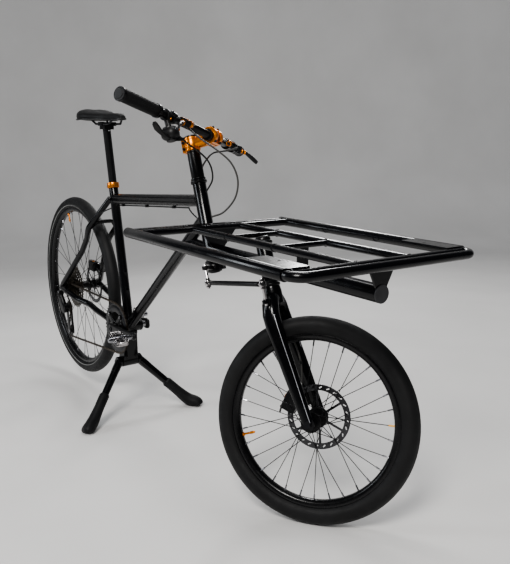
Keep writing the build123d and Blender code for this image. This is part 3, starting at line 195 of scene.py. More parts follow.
def rod(start, end, radius, chamfer=0.8, sides=24):
    """Straight bar with chamfered ends."""
    start, end = Vector(start), Vector(end)
    way = (end - start).normalized()
    path = [start, start + way * chamfer, end - way * chamfer, end]
    return tube(path, [radius - chamfer, radius, radius, radius - chamfer], sides)


def slab(outline, low, high, chamfer=0.6):
    """Plate from an XZ outline, between two Y heights, with chamfered edges."""
    count = len(outline)
    inner = []
    for index, (x, z) in enumerate(outline):
        px, pz = outline[index - 1]
        nx, nz = outline[(index + 1) % count]
        tx, tz = nx - px, nz - pz
        length = hypot(tx, tz) or 1.0
        inner.append((x - tz / length * chamfer, z + tx / length * chamfer))
    rings = [
        [(x, low, z) for x, z in inner], [(x, low + chamfer, z) for x, z in outline],
        [(x, high - chamfer, z) for x, z in outline], [(x, high, z) for x, z in inner],
    ]
    return skin(rings, caps=True)


def box(size, centre=(0, 0, 0), bevel=1.5, segments=2):
    """Block with rounded edges."""
    mesh = bmesh.new()
    bmesh.ops.create_cube(mesh, size=1.0)
    for vertex in mesh.verts:
        vertex.co = Vector([c * s for c, s in zip(vertex.co, size)])
    bmesh.ops.bevel(mesh, geom=mesh.edges[:], offset=bevel, segments=segments, affect="EDGES", profile=0.7)
    points = [v.co + Vector(centre) for v in mesh.verts]
    faces = [tuple(v.index for v in face.verts) for face in mesh.faces]
    mesh.free()
    return points, faces, [tuple((0.5, 0.5) for _ in face) for face in faces]


def hex_outline(radius):
    return [(radius * cos(pi * i / 3), radius * sin(pi * i / 3)) for i in range(6)]


def bolt(centre, way, radius, height):
    """Socket-head bolt: round head with a chamfered top and a hexagonal recess."""
    centre, way = Vector(centre), Vector(way).normalized()
    steps = 24
    hexagon = [hex_radius(2 * pi * i / steps) * radius * 0.52 for i in range(steps)]
    profile = [
        [radius] * steps, [radius] * steps, [radius * 0.9] * steps, hexagon, hexagon,
    ]
    heights = [0, height * 0.85, height, height, height * 0.35]
    side = way.orthogonal().normalized()
    up = way.cross(side)
    rings = []
    for radii, rise in zip(profile, heights):
        ring = []
        for index, r in enumerate(radii):
            angle = 2 * pi * index / steps
            ring.append(centre + way * rise + side * r * cos(angle) + up * r * sin(angle))
        rings.append(ring)
    return skin(rings, caps=True)


def hex_radius(angle):
    """Radius of a unit hexagon at an angle."""
    return cos(pi / 6) / cos((angle % (pi / 3)) - pi / 6)


def gear(teeth, root, tip, inner, low, high, turn=0.0):
    """Toothed ring about Y."""
    share = ((0.0, root), (0.2, root), (0.38, tip), (0.62, tip), (0.8, root))
    outer, bore = [], []
    for index in range(teeth):
        for part, radius in share:
            angle = 2 * pi * (index + part) / teeth + turn
            outer.append((radius * cos(angle), radius * sin(angle)))
            bore.append((inner * cos(angle), inner * sin(angle)))
    rings = [
        [(x, low, z) for x, z in bore], [(x, low, z) for x, z in outer],
        [(x, high, z) for x, z in outer], [(x, high, z) for x, z in bore],
    ]
    return skin(rings, along=True)


def soft_rectangle(width, height, corner, steps=4):
    """Outline of a rectangle with round corners."""
    points = []
    corner = min(corner, width / 2 - 0.01, height / 2 - 0.01)
    for quarter, (sx, sy) in enumerate(((1, 1), (-1, 1), (-1, -1), (1, -1))):
        for index in range(steps + 1):
            angle = pi / 2 * (quarter + index / steps)
            points.append((sx * (width / 2 - corner) + corner * cos(angle),
                           sy * (height / 2 - corner) + corner * sin(angle)))
    return points


def loft(stations, side, corner=0.4, steps=4):
    """Bar through (point, width, height) stations; width runs along side."""
    rings = []
    places = [Vector(station[0]) for station in stations]
    for index, (point, width, height) in enumerate(stations):
        before = places[max(index - 1, 0)]
        after = places[min(index + 1, len(places) - 1)]
        ahead = (after - before).normalized()
        across = (Vector(side) - ahead * Vector(side).dot(ahead)).normalized()
        up = across.cross(ahead)
        outline = soft_rectangle(width, height, corner * min(width, height), steps)
        rings.append([Vector(point) + across * x + up * y for x, y in outline])
    return skin(rings, caps=True)


def band(start, end, inner, outer, sides=40, chamfer=0.7):
    """Hollow ring along a line."""
    start, end = Vector(start), Vector(end)
    way = (end - start).normalized()
    height = (end - start).length
    up = way.orthogonal().normalized()
    side = way.cross(up)
    profile = [
        (inner, 0), (outer - chamfer, 0), (outer, chamfer), (outer, height - chamfer),
        (outer - chamfer, height), (inner, height),
    ]
    rings = []
    for index in range(sides):
        angle = 2 * pi * index / sides
        spoke = up * cos(angle) + side * sin(angle)
        rings.append([start + way * h + spoke * r for r, h in profile])
    return skin(rings, around=True, along=True)


def spring(start, end, coil, wire, turns, hook=0.0):
    """Coil spring between two points."""
    start, end = Vector(start), Vector(end)
    way = (end - start).normalized()
    up = way.orthogonal().normalized()
    side = way.cross(up)
    path = [start - way * hook]
    count = int(turns * 12)
    for index in range(count + 1):
        angle = 2 * pi * index / 12
        path.append(start + (end - start) * index / count + up * coil * cos(angle)
                    + side * coil * sin(angle))
    path.append(end + way * hook)
    return tube(path, wire, 6)


def weld(centre, branch, main, branch_r, main_r, bead=1.9):
    """Rippled bead where a branch tube meets the wall of a main tube."""
    centre, branch, main = Vector(centre), Vector(branch).normalized(), Vector(main).normalized()
    normal = branch.cross(main).normalized()
    along = normal.cross(branch).normalized()
    outward = main.cross(normal).normalized()
    if outward.dot(branch) < 0:
        outward = -outward
    steps = max(int(branch_r * 4), 36)
    path, radii = [], []
    for index in range(steps):
        angle = 2 * pi * index / steps
        across, ahead = branch_r * sin(angle), branch_r * cos(angle)
        depth = sqrt(max(main_r ** 2 - across ** 2, 0.0))
        travel = (depth - along.dot(outward) * ahead) / branch.dot(outward)
        path.append(centre + along * ahead + normal * across + branch * travel)
        radii.append(bead * (1.08 if index % 2 else 0.88))
    return tube(path, radii, 8, hint=main, loop=True)


def new_object(name, shape, matrix, look, smooth=38.0):
    mesh = bpy.data.meshes.new(name)
    points = [matrix @ Vector(p) for p in shape[0]]
    mesh.from_pydata([tuple(p) for p in points], [], shape[1])
    layer = mesh.uv_layers.new(name="UVMap")
    corner = 0
    for face_uvs in shape[2]:
        for uv in face_uvs:
            layer.data[corner].uv = uv
            corner += 1
    work = bmesh.new()
    work.from_mesh(mesh)
    bmesh.ops.recalc_face_normals(work, faces=work.faces)
    work.to_mesh(mesh)
    work.free()
    mesh.shade_smooth()
    mesh.set_sharp_from_angle(angle=radians(smooth))
    mesh.materials.append(look)
    made = bpy.data.objects.new(name, mesh)
    bpy.context.scene.collection.objects.link(made)
    return made


def piece(name, body, slot, look, matrix, *shapes, replaces=(), smooth=38.0):
    made = new_object(name, join(*shapes), matrix, look, smooth)
    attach(made, body)
    if replaces:
        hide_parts(*replaces)
    return made


def bridging(name, bodies, span, slot, look, matrix, *shapes):
    """Piece that runs between two bodies, such as a hose loop, made as one fixed mesh attached to neither.
    """
    made = new_object(name, join(*shapes), matrix, look)
    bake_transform(made)
    return made


def soften(made, levels=2):
    modifier = made.modifiers.new("Subdivision", "SUBSURF")
    modifier.levels = levels
    modifier.render_levels = levels
    return made


# ---- Materials ----
class Nodes:
    """Small helper that adds shader nodes and joins them."""

    def __init__(self, name):
        self.material = bpy.data.materials.new(name)
        self.material.use_nodes = True
        self.tree = self.material.node_tree
        self.shader = self.tree.nodes["Principled BSDF"]

    def add(self, kind, **settings):
        node = self.tree.nodes.new(kind)
        for key, value in settings.items():
            if hasattr(node, key):
                setattr(node, key, value)
            else:
                node.inputs[key.replace("_", " ")].default_value = value
        return node

    def join(self, source, output, target, socket):
        self.tree.links.new(source.outputs[output], target.inputs[socket])

    def noise(self, scale, detail=3.0, coordinates="Object"):
        place = self.add("ShaderNodeTexCoord")
        node = self.add("ShaderNodeTexNoise", Scale=scale, Detail=detail)
        self.join(place, coordinates, node, "Vector")
        return node

    def ramp(self, source, output, low, high, dark, light):
        node = self.add("ShaderNodeValToRGB")
        node.color_ramp.elements[0].position = low
        node.color_ramp.elements[1].position = high
        node.color_ramp.elements[0].color = (*dark, 1)
        node.color_ramp.elements[1].color = (*light, 1)
        self.join(source, output, node, "Fac")
        return node

    def spread(self, source, output, low, high, to_low, to_high):
        node = self.add("ShaderNodeMapRange")
        sockets = ("From Min", "From Max", "To Min", "To Max")
        for socket, value in zip(sockets, (low, high, to_low, to_high)):
            node.inputs[socket].default_value = value
        self.join(source, output, node, "Value")
        return node

    def bump(self, source, output, strength, distance, below=None):
        node = self.add("ShaderNodeBump")
        node.inputs["Strength"].default_value = strength
        node.inputs["Distance"].default_value = distance
        self.join(source, output, node, "Height")
        if below is not None:
            self.join(below, "Normal", node, "Normal")
        return node


def surface(name, colour, roughness, metallic=0.0, coat=0.0, grain=900.0, grain_depth=0.0001,
            tint=0.25, spread=0.08, specular=0.5):
    """Base finish: cloudy tint, fine grain and uneven gloss."""
    n = Nodes(name)
    dark = tuple(c * (1 - tint) for c in colour)
    light = tuple(min(c * (1 + tint), 1.0) for c in colour)
    clouds = n.noise(14.0, 5.0)
    base = n.ramp(clouds, "Fac", 0.3, 0.7, dark, light)
    n.join(base, "Color", n.shader, "Base Color")
    smears = n.noise(55.0, 6.0)
    gloss = n.spread(smears, "Fac", 0.3, 0.7, max(roughness - spread, 0.02), roughness + spread)
    n.join(gloss, "Result", n.shader, "Roughness")
    fine = n.noise(grain, 2.0)
    relief = n.bump(fine, "Fac", 0.35, grain_depth)
    n.join(relief, "Normal", n.shader, "Normal")
    n.shader.inputs["Metallic"].default_value = metallic
    n.shader.inputs["Coat Weight"].default_value = coat
    n.shader.inputs["Coat Roughness"].default_value = 0.12
    n.shader.inputs["Specular IOR Level"].default_value = specular
    return n, relief


def finish(*settings, **more):
    """Material made of the base finish alone."""
    return surface(*settings, **more)[0].material


def plain_metal(name, colour, roughness, metallic, grain=1300.0, tint=0.2, spread=0.06, coat=0.0):
    return finish(name, colour, roughness, metallic, coat, grain, 0.00005, tint, spread=spread)


def rubber(name, colour=(0.009, 0.009, 0.0095)):
    return surface(name, colour, 0.56, grain=1500.0, grain_depth=0.0002, tint=0.3, specular=0.28)


def grip_rubber():
    """Rubber with a fine knurl wound round the grip."""
    n, relief = rubber("grip_rubber", (0.0085, 0.0085, 0.009))
    place = n.add("ShaderNodeTexCoord")
    squares = n.add("ShaderNodeTexChecker", Scale=1.0)
    stretch = n.add("ShaderNodeMapping")
    stretch.inputs["Scale"].default_value = (90.0, 26.0, 1.0)
    n.join(place, "UV", stretch, "Vector")
    n.join(stretch, "Vector", squares, "Vector")
    knurl = n.bump(squares, "Fac", 0.8, 0.0006, relief)
    n.join(knurl, "Normal", n.shader, "Normal")
    return n.material


def tyre_rubber(name, painted_ring_at, painted_ring_width, painted_ring_colour):
    """Tread with fine cross ribs, cased sidewall and one thin painted highlight ring near the rim."""
    n, relief = rubber(name, (0.0095, 0.0095, 0.010))
    place = n.add("ShaderNodeTexCoord")
    split = n.add("ShaderNodeSeparateXYZ")
    n.join(place, "UV", split, "Vector")
    weave = n.add("ShaderNodeTexWave", Scale=160.0, Distortion=0.6)
    stretch = n.add("ShaderNodeMapping")
    stretch.inputs["Scale"].default_value = (3.0, 0.4, 1.0)
    n.join(place, "UV", stretch, "Vector")
    n.join(stretch, "Vector", weave, "Vector")
    ribs = n.bump(weave, "Fac", 0.25, 0.0004, relief)
    n.join(ribs, "Normal", n.shader, "Normal")
    # Painted highlight: a thin light grey ring on the sidewall near the rim.
    if painted_ring_width:
        offset = n.add("ShaderNodeMath", operation="SUBTRACT")
        n.join(split, "Y", offset, 0)
        offset.inputs[1].default_value = 0.5
        across = n.add("ShaderNodeMath", operation="ABSOLUTE")
        n.join(offset, "Value", across, 0)
        band = n.add("ShaderNodeMath", operation="COMPARE")
        n.join(across, "Value", band, 0)
        band.inputs[1].default_value = painted_ring_at
        band.inputs[2].default_value = painted_ring_width
        mix = n.add("ShaderNodeMixRGB")
        n.join(band, "Value", mix, "Fac")
        old = n.shader.inputs["Base Color"].links[0].from_socket
        n.tree.links.new(old, mix.inputs["Color1"])
        mix.inputs["Color2"].default_value = (*painted_ring_colour, 1)
        n.join(mix, "Color", n.shader, "Base Color")
    return n.material


def saddle_skin():
    """Pebbled synthetic leather."""
    n, relief = surface("saddle_skin", (0.0065, 0.0065, 0.007), 0.50, grain=900.0,
                        grain_depth=0.00015, tint=0.3, specular=0.2)
    place = n.add("ShaderNodeTexCoord")
    cells = n.add("ShaderNodeTexVoronoi", Scale=700.0)
    n.join(place, "Object", cells, "Vector")
    pebble = n.bump(cells, "Distance", 0.35, 0.0004, relief)
    n.join(pebble, "Normal", n.shader, "Normal")
    n.shader.inputs["Sheen Weight"].default_value = 0.03
    return n.material


# Gloss black paint: faint orange peel under a clear skin.
PAINT = finish("frame_paint", (0.0022, 0.0023, 0.0033), 0.24, coat=0.18, grain=200.0,
               grain_depth=0.00002, spread=0.05, specular=0.26)
# Bead-blasted black anodising.
BLACK = plain_metal("black_alloy", (0.0050, 0.0050, 0.0058), 0.34, 0.3)
SATIN = plain_metal("satin_alloy", (0.013, 0.013, 0.014), 0.28, 0.45)
RIM_BLACK = plain_metal("rim_alloy", (0.006, 0.006, 0.0068), 0.27, 0.3)
SPOKE_BLACK = plain_metal("spoke_black", (0.010, 0.010, 0.011), 0.35, 0.7)
COG = plain_metal("cog_steel", (0.085, 0.075, 0.062), 0.38, 0.9, tint=0.4)
AMBER = finish("amber_plastic", (0.85, 0.42, 0.015), 0.35, grain=1500.0, tint=0.1)
# Bright silver for the painted highlight lines down the fork blades.
PAINTED_HIGHLIGHT_SILVER = plain_metal("pin_silver", (0.62, 0.63, 0.66), 0.30, 0.6, tint=0.06)
GLASS = finish("dark_glass", (0.05, 0.055, 0.065), 0.08, coat=0.8, grain=400.0,
               grain_depth=0.00001, tint=0.3)
DARK = plain_metal("dark_steel", (0.030, 0.030, 0.033), 0.34, 0.9)
# Amber anodising.
ORANGE = plain_metal("orange_alloy", (0.74, 0.235, 0.012), 0.30, 0.85, 1600.0, 0.14, 0.06, 0.2)
SILVER = plain_metal("silver_alloy", (0.30, 0.30, 0.32), 0.24, 1.0, tint=0.2)
CHROME = plain_metal("chrome", (0.50, 0.48, 0.48), 0.13, 1.0, 800.0, 0.12, 0.04)
STAINLESS = plain_metal("stainless", (0.36, 0.36, 0.37), 0.24, 1.0, tint=0.12)
# Oiled steel under an uneven brown film.
CHAIN = finish("chain_steel", (0.048, 0.036, 0.025), 0.40, metallic=0.8, grain=700.0,
               tint=0.55, spread=0.14)
PLASTIC = finish("black_plastic", (0.0075, 0.0075, 0.008), 0.40, grain=1800.0,
                 grain_depth=0.00012, specular=0.4)
CAP_GREY = finish("cap_grey", (0.030, 0.030, 0.033), 0.5, grain=1500.0, grain_depth=0.00015)
CABLE = finish("cable_black", (0.007, 0.007, 0.0075), 0.34, grain=2500.0, specular=0.4)
CABLE_GREY = finish("cable_grey", (0.052, 0.050, 0.047), 0.36, grain=2500.0)
BOOT = rubber("boot_rubber", (0.008, 0.008, 0.009))[0].material
GRIP = grip_rubber()
# Dark ground steel.
ROTOR = finish("rotor_steel", (0.10, 0.10, 0.105), 0.30, metallic=0.95, grain=2600.0, tint=0.2)
SADDLE = saddle_skin()
THREAD = finish("thread_grey", (0.055, 0.055, 0.06), 0.7, grain=3000.0)
# Only the rear tyre gets the painted highlight ring; the front's has no width.
FRONT_RUBBER = tyre_rubber("front_tyre_rubber", 0.44, 0.0, (0.3, 0.3, 0.3))
REAR_RUBBER = tyre_rubber("rear_tyre_rubber", 0.40, 0.008, (0.30, 0.30, 0.29))


# ---- Wheels ----
SPOKES = 32
FLANGE_THICK = 3.0
SPOKE_STANDOFF = 1.1
RIM_HALF = 13.5
RIM_DEPTH = 12.0
RIM_FLANGE = 6.0
SPOKE_LEAD = 0.95
ODD_NIPPLE = 31
ROTOR_BOLT_R = 21.5


def tyre_shape(radius, section, steps):
    """Open casing with a rounded crown, thinner towards the bead."""
    core = radius - section
    outer, inner = [], []
    for index in range(41):
        angle = radians(-142 + 284 * index / 40)
        crown = 1.0 + 0.010 * cos(6 * angle) * (abs(angle) < 0.6)
        outer.append((core + section * crown * cos(angle), section * 0.995 * sin(angle)))
        inner.append((core + (section - 3) * cos(angle), (section - 3) * sin(angle)))
    peak = max(r for r, _ in outer)
    outer = [(r - max(peak - radius, 0) * (r > core), h) for r, h in outer]
    return join(lathe(outer, steps, closed=False), lathe(inner, steps, closed=False))


def rim_shape(bead, steps):
    top, low = bead + RIM_FLANGE, bead - RIM_DEPTH
    half = [
        (low, 0), (low, 4.5), (low + 0.8, 6.5), (low + 4, 11), (low + 7, 12.6), (bead - 2, 13.2),
        (bead, RIM_HALF), (top - 1.2, RIM_HALF), (top, RIM_HALF - 0.8), (top - 0.8, RIM_HALF - 2.2),
        (bead + 1, RIM_HALF - 2.6), (bead - 2, 6), (bead - 2, 0),
    ]
    other = [(r, -h) for r, h in reversed(half[1:-1])]
    return lathe(half + other, steps)


def spoke_ends(index, bead, left, right, flange):
    """Hub end and rim end of one spoke, and which side of its flange it leaves."""
    side = 1 if index % 2 == 0 else -1
    pair = 1 if (index // 2) % 2 else -1
    face = (left if side > 0 else right) + side * pair * (FLANGE_THICK / 2 + 1.0 + SPOKE_STANDOFF)
    rim_angle = 2 * pi * index / SPOKES
    hub_angle = rim_angle + pair * SPOKE_LEAD
    hub = Vector((flange * cos(hub_angle), face, flange * sin(hub_angle)))
    reach = bead - RIM_DEPTH
    rim = Vector((reach * cos(rim_angle), side * 3.0, reach * sin(rim_angle)))
    return hub, rim, side * pair


def spoke_shapes(bead, left, right, flange):
    """Wires with elbows through the flange, and separate nipples."""
    wires, nipples, odd = [], [], []
    for index in range(SPOKES):
        hub, rim, lean = spoke_ends(index, bead, left, right, flange)
        way = (rim - hub).normalized()
        elbow = hub - Vector((0, lean * 4.4, 0))
        wires.append(tube(rounded_path([elbow, hub, rim - way * 11], 2.2, 3), 0.95, 8))
        wires.append(rod(elbow - Vector((0, lean * 1.0, 0)), elbow, 1.9, 0.4, 10))
        nipple = tube([rim - way * 13.5, rim - way * 12.8, rim - way * 2.5, rim - way * 0.4],
                      [1.4, 2.1, 2.1, 2.4], 8)
        (odd if index == ODD_NIPPLE and bead == FRONT_BEAD else nipples).append(nipple)
    return wires, nipples, odd


def hub_shape(half, left, right, flange, barrel, rotor_at, drive_end, bore=6.2):
    t = FLANGE_THICK / 2
    profile = [
        (bore, -half), (9.5, -half), (11, -half + 1.5), (11, drive_end - 1), (barrel, drive_end),
        (barrel, right - t), (flange + 2, right - t), (flange + 3, right - t + 0.8),
        (flange + 3, right + t - 0.8), (flange + 2, right + t), (barrel + 2, right + t),
        (barrel, right + t + 3), (barrel - 1, (left + right) / 2), (barrel, left - t - 3),
        (barrel + 2, left - t), (flange + 2, left - t), (flange + 3, left - t + 0.8),
        (flange + 3, left + t - 0.8), (flange + 2, left + t), (barrel, left + t),
        (barrel, rotor_at - 4), (16.9, rotor_at - 2), (16.9, rotor_at + 2), (11, rotor_at + 5),
        (11, half - 1.5), (9.5, half), (bore, half),
    ]
    return lathe(profile, 48)


def rotor_bolts(at_y):
    bolts = []
    for index in range(6):
        angle = radians(60 * index + 12)
        place = (ROTOR_BOLT_R * cos(angle), at_y + 0.9, ROTOR_BOLT_R * sin(angle))
        bolts.append(bolt(place, (0, 1, 0), 3.2, 1.8))
    return bolts


def valve_shape(bead):
    """Slim valve stem with a threaded shank and a cap, pointing at the hub."""
    top = -(bead - RIM_DEPTH)
    threads = []
    for index in range(14):
        threads.append((0, 0, top + 0.3 + index * 1.4))
    radii = [2.9 if index % 2 else 2.5 for index in range(14)]
    shank = tube(threads, radii, 12, hint=(0, 1, 0))
    nut = moved(slab(hex_outline(5.2), top + 0.2, top + 3.2, 0.4), turned(90, "X"))
    cap_path = [(0, 0, top + h) for h in (19, 20, 28, 32, 33.5)]
    cap = tube(cap_path, [2.9, 3.4, 3.4, 2.3, 1.2], 12, hint=(0, 1, 0))
    return join(shank, nut, cap)


FRONT_TYRE, REAR_TYRE = (250.0, 23.5), (357.0, 23.0)        # outer radius, section radius
FRONT_BEAD, REAR_BEAD = 203.0, 311.0
FRONT_VALVE_TURN, REAR_VALVE_TURN = 86.0, 160.0
FRONT_FLANGES, REAR_FLANGES = (20.0, -33.0), (34.0, -17.0)
FRONT_ROTOR_Y, REAR_ROTOR_Y = 38.0, 57.0


def wheel(name, body, matrix, tyre_r, section, bead, flanges, flange, barrel, rotor_at, half,
          drive_end, rubber_surface, valve_turn, steps):
    left, right = flanges
    piece(f"{name}_tyre_casing", body, "tyre_rubber", rubber_surface, matrix,
          tyre_shape(tyre_r, section, steps), replaces=(f"{name}_tyre",), smooth=60)
    piece(f"{name}_rim_hoop", body, "rim_black", RIM_BLACK, matrix, rim_shape(bead, steps),
          replaces=(f"{name}_rim",))
    wires, nipples, odd = spoke_shapes(bead, left, right, flange)
    piece(f"{name}_spoke_wires", body, "stainless", SPOKE_BLACK, matrix, *wires,
          replaces=(f"{name}_spokes",))
    piece(f"{name}_nipples", body, "stainless", SILVER, matrix, *nipples)
    if odd:
        piece(f"{name}_odd_nipple", body, "orange_alloy", AMBER, matrix, *odd)
    piece(f"{name}_hub_shell", body, "black_alloy", BLACK, matrix,
          hub_shape(half, left, right, flange, barrel, rotor_at, drive_end),
          replaces=(f"{name}_hub",))
    piece(f"{name}_rotor_bolts", body, "dark_steel", DARK, matrix, *rotor_bolts(rotor_at))
    piece(f"{name}_valve_stem", body, "orange_alloy", ORANGE, matrix @ turned(valve_turn, "Y"),
          valve_shape(bead), replaces=(f"{name}_valve",))


# ---- Drivetrain ----
CHAIN_PITCH = 12.7
RING_TEETH, SMALL_TEETH = 44, 11
CHAINLINE = 50.0
CHAIN_SKEW = radians(1.26)
GUIDE_PULLEY = Vector((-986.0, 0, 238.0))
TENSION_PULLEY = Vector((-972.0, 0, 140.0))
COG_TEETH = (11, 13, 15, 17, 19, 21, 24, 28, 32, 37, 42)
COG_PITCH = 3.7
SMALL_COG_Y = -60.0
CRANK_LENGTH = 170.0
PEDAL_TILT = {-1: 25.0, 1: -70.0}
BB_PLACE = DECK @ Matrix.Translation(BOTTOM_BRACKET)
SLANT = Matrix.Rotation(CHAIN_SKEW, 4, "Z")
CHAIN_PLACE = BB_PLACE @ at(0, -CHAINLINE, 0) @ SLANT


def pitch_radius(teeth):
    return teeth * CHAIN_PITCH / (2 * pi)


def chain_wheels():
    """Centre, radius and sense of every wheel the chain runs round."""
    centres = (BOTTOM_BRACKET, TENSION_PULLEY, GUIDE_PULLEY, REAR_AXLE)
    teeth = (RING_TEETH, SMALL_TEETH, SMALL_TEETH, SMALL_TEETH)
    senses = (-1, -1, 1, -1)
    wheels = []
    for centre, count, sense in zip(centres, teeth, senses):
        offset = centre - BOTTOM_BRACKET
        wheels.append(((offset.x, offset.z), pitch_radius(count) * sense))
    return wheels


def chain_runs():
    """Straight runs and arcs, as (length, function of distance)."""
    wheels = chain_wheels()
    tangents = []
    for index, (centre, signed) in enumerate(wheels):
        other, other_signed = wheels[(index + 1) % len(wheels)]
        dx, dz = other[0] - centre[0], other[1] - centre[1]
        heading = atan2(dz, dx) - asin((other_signed - signed) / hypot(dx, dz))
        nx, nz = -sin(heading), cos(heading)
        tangents.append(((centre[0] - nx * signed, centre[1] - nz * signed),
                         (other[0] - nx * other_signed, other[1] - nz * other_signed)))
    runs = []
    for index, (start, end) in enumerate(tangents):
        centre, signed = wheels[(index + 1) % len(wheels)]
        leave = tangents[(index + 1) % len(tangents)][0]
        first = atan2(end[1] - centre[1], end[0] - centre[0])
        last = atan2(leave[1] - centre[1], leave[0] - centre[0])
        turn = (last - first) % (2 * pi)
        if signed < 0:
            turn -= 2 * pi
        runs.append(("line", dist(start, end), start, end))
        runs.append(("arc", abs(turn * signed), centre, (abs(signed), first, turn)))
    return runs


def chain_pins():
    runs = chain_runs()
    total = sum(run[1] for run in runs)
    count = 2 * round(total / CHAIN_PITCH / 2)
    pins = []
    for index in range(count):
        left = total * index / count
        for kind, length, first, second in runs:
            if left <= length:
                break
            left -= length
        share = left / length
        if kind == "line":
            pins.append((first[0] + (second[0] - first[0]) * share,
                         first[1] + (second[1] - first[1]) * share))
        else:
            radius, start, turn = second
            angle = start + turn * share
            pins.append((first[0] + radius * cos(angle), first[1] + radius * sin(angle)))
    return pins


def link_outline(first, second, end_r=3.9, waist=2.9):
    """Waisted outline of a chain link plate between two pins."""
    middle = ((first[0] + second[0]) / 2, (first[1] + second[1]) / 2)
    heading = atan2(second[1] - first[1], second[0] - first[0])
    half = dist(first, second) / 2
    points = []
    for side in (1, -1):
        for index in range(7):
            angle = -pi * 0.42 + pi * 0.84 * index / 6
            points.append((side * (half + end_r * cos(angle)), side * end_r * sin(angle)))
        points.append((0.0, side * waist))
    c, s = cos(heading), sin(heading)
    return [(middle[0] + x * c - z * s, middle[1] + x * s + z * c) for x, z in points]


def chain_shapes():
    pins = chain_pins()
    plates, rollers = [], []
    for index, pin in enumerate(pins):
        after = pins[(index + 1) % len(pins)]
        low = 0.95 if index % 2 else 1.6
        for side in (-1, 1):
            faces = sorted((side * low, side * (low + 0.6)))
            plates.append(slab(link_outline(pin, after), *faces, chamfer=0.12))
        rollers.append(rod((pin[0], -0.9, pin[1]), (pin[0], 0.9, pin[1]), 3.2, 0.2, 10))
        rollers.append(rod((pin[0], -2.3, pin[1]), (pin[0], 2.3, pin[1]), 1.5, 0.2, 8))
    return plates, rollers


def nearest_pin_angle(centre):
    """Angle of the chain pin that sits deepest on a wheel."""
    pins = chain_pins()
    near = min(pins, key=lambda pin: dist(pin, centre))
    return atan2(near[1] - centre[1], near[0] - centre[0])


def toothed_wheel(teeth, inner, low, high, turn):
    radius = pitch_radius(teeth)
    return gear(teeth, radius - 3.4, radius + 2.6, inner, low, high, turn)


def chainring():
    turn = nearest_pin_angle((0.0, 0.0))
    low, high = -CHAINLINE - 0.85, -CHAINLINE + 0.85
    ring = toothed_wheel(RING_TEETH, 66.0, low, high, turn)
    shoulder = lathe([(58, low - 0.7), (80, low - 0.7), (81, low), (81, high), (80, high + 0.7),
                      (58, high + 0.7), (57, high), (57, low)], 96)
    piece("chainring_teeth", "crankset", "dark_steel", DARK, BB_PLACE, ring, shoulder,
          replaces=("chainring",))
    arms, bolts = [], []
    for index in range(4):
        angle = radians(45 + 90 * index)
        c, s = cos(angle), sin(angle)
        hub, tip = 20.0, 69.0
        middle = -CHAINLINE - 4.4
        stations = [((hub * c, middle, hub * s), 22, 6), ((44 * c, middle, 44 * s), 15, 5.4),
                    ((62 * c, middle + 0.6, 62 * s), 17, 4.6), ((tip * c, middle + 1, tip * s), 13, 4)]
        arms.append(loft(stations, (-s, 0, c)))
        bolts.append(bolt((63.5 * c, middle - 1.6, 63.5 * s), (0, -1, 0), 5.0, 2.2))
        bolts.append(rod((63.5 * c, high, 63.5 * s), (63.5 * c, high + 3, 63.5 * s), 5.5, 0.6, 20))
    piece("chainring_spider", "crankset", "black_alloy", BLACK, CRANK, *arms)
    piece("chainring_bolts", "crankset", "dark_steel", STAINLESS, CRANK, *bolts)


def cassette():
    turn = nearest_pin_angle((REAR_AXLE.x - BOTTOM_BRACKET.x, REAR_AXLE.z - BOTTOM_BRACKET.z))
    cogs, spiders = [], []
    for index, teeth in enumerate(COG_TEETH):
        low = SMALL_COG_Y + COG_PITCH * index - 0.8
        inner = max(16.0, pitch_radius(teeth) - 13.0)
        cogs.append(toothed_wheel(teeth, inner, low, low + 1.6, turn + 0.05 * index))
        if inner > 18:
            for arm in range(5):
                angle = radians(72 * arm + 9 * index)
                c, s = cos(angle), sin(angle)
                stations = [((14 * c, low + 0.8, 14 * s), 9, 1.4),
                            (((inner + 3) * c, low + 0.8, (inner + 3) * s), 7, 1.4)]
                spiders.append(loft(stations, (-s, 0, c)))
    core = lathe([(11.1, SMALL_COG_Y - 3), (15, SMALL_COG_Y - 3), (16.2, SMALL_COG_Y - 1),
                  (16.2, SMALL_COG_Y + 38), (11.1, SMALL_COG_Y + 38)], 48)
    piece("cassette_cogs", "cassette", "dark_steel", COG, REAR_WHEEL, *cogs, replaces=("cassette",))
    piece("cassette_spider", "cassette", "black_alloy", BLACK, REAR_WHEEL, core, *spiders)


def pulleys():
    for name, centre in (("guide", GUIDE_PULLEY), ("tension", TENSION_PULLEY)):
        offset = centre - BOTTOM_BRACKET
        across = -CHAINLINE + offset.x * tan(CHAIN_SKEW)
        turn = nearest_pin_angle((offset.x, offset.z))
        wheel_shape = toothed_wheel(SMALL_TEETH, 13.0, across - 0.85, across + 0.85, turn)
        ring = lathe([(2.6, across - 3), (7, across - 3), (7.5, across - 1), (14, across - 1),
                      (14, across + 1), (7.5, across + 1), (7, across + 3), (2.6, across + 3)], 36)
        piece(f"{name}_pulley_teeth", f"{name}_pulley", "black_plastic", PLASTIC,
              DECK @ Matrix.Translation(centre), wheel_shape, ring, replaces=(f"{name}_pulley",))


def chain():
    plates, rollers = chain_shapes()
    piece("chain_plates", "frame", "chain_steel", CHAIN, CHAIN_PLACE, *plates, replaces=("chain",))
    piece("chain_rollers", "frame", "chain_steel", DARK, CHAIN_PLACE, *rollers)


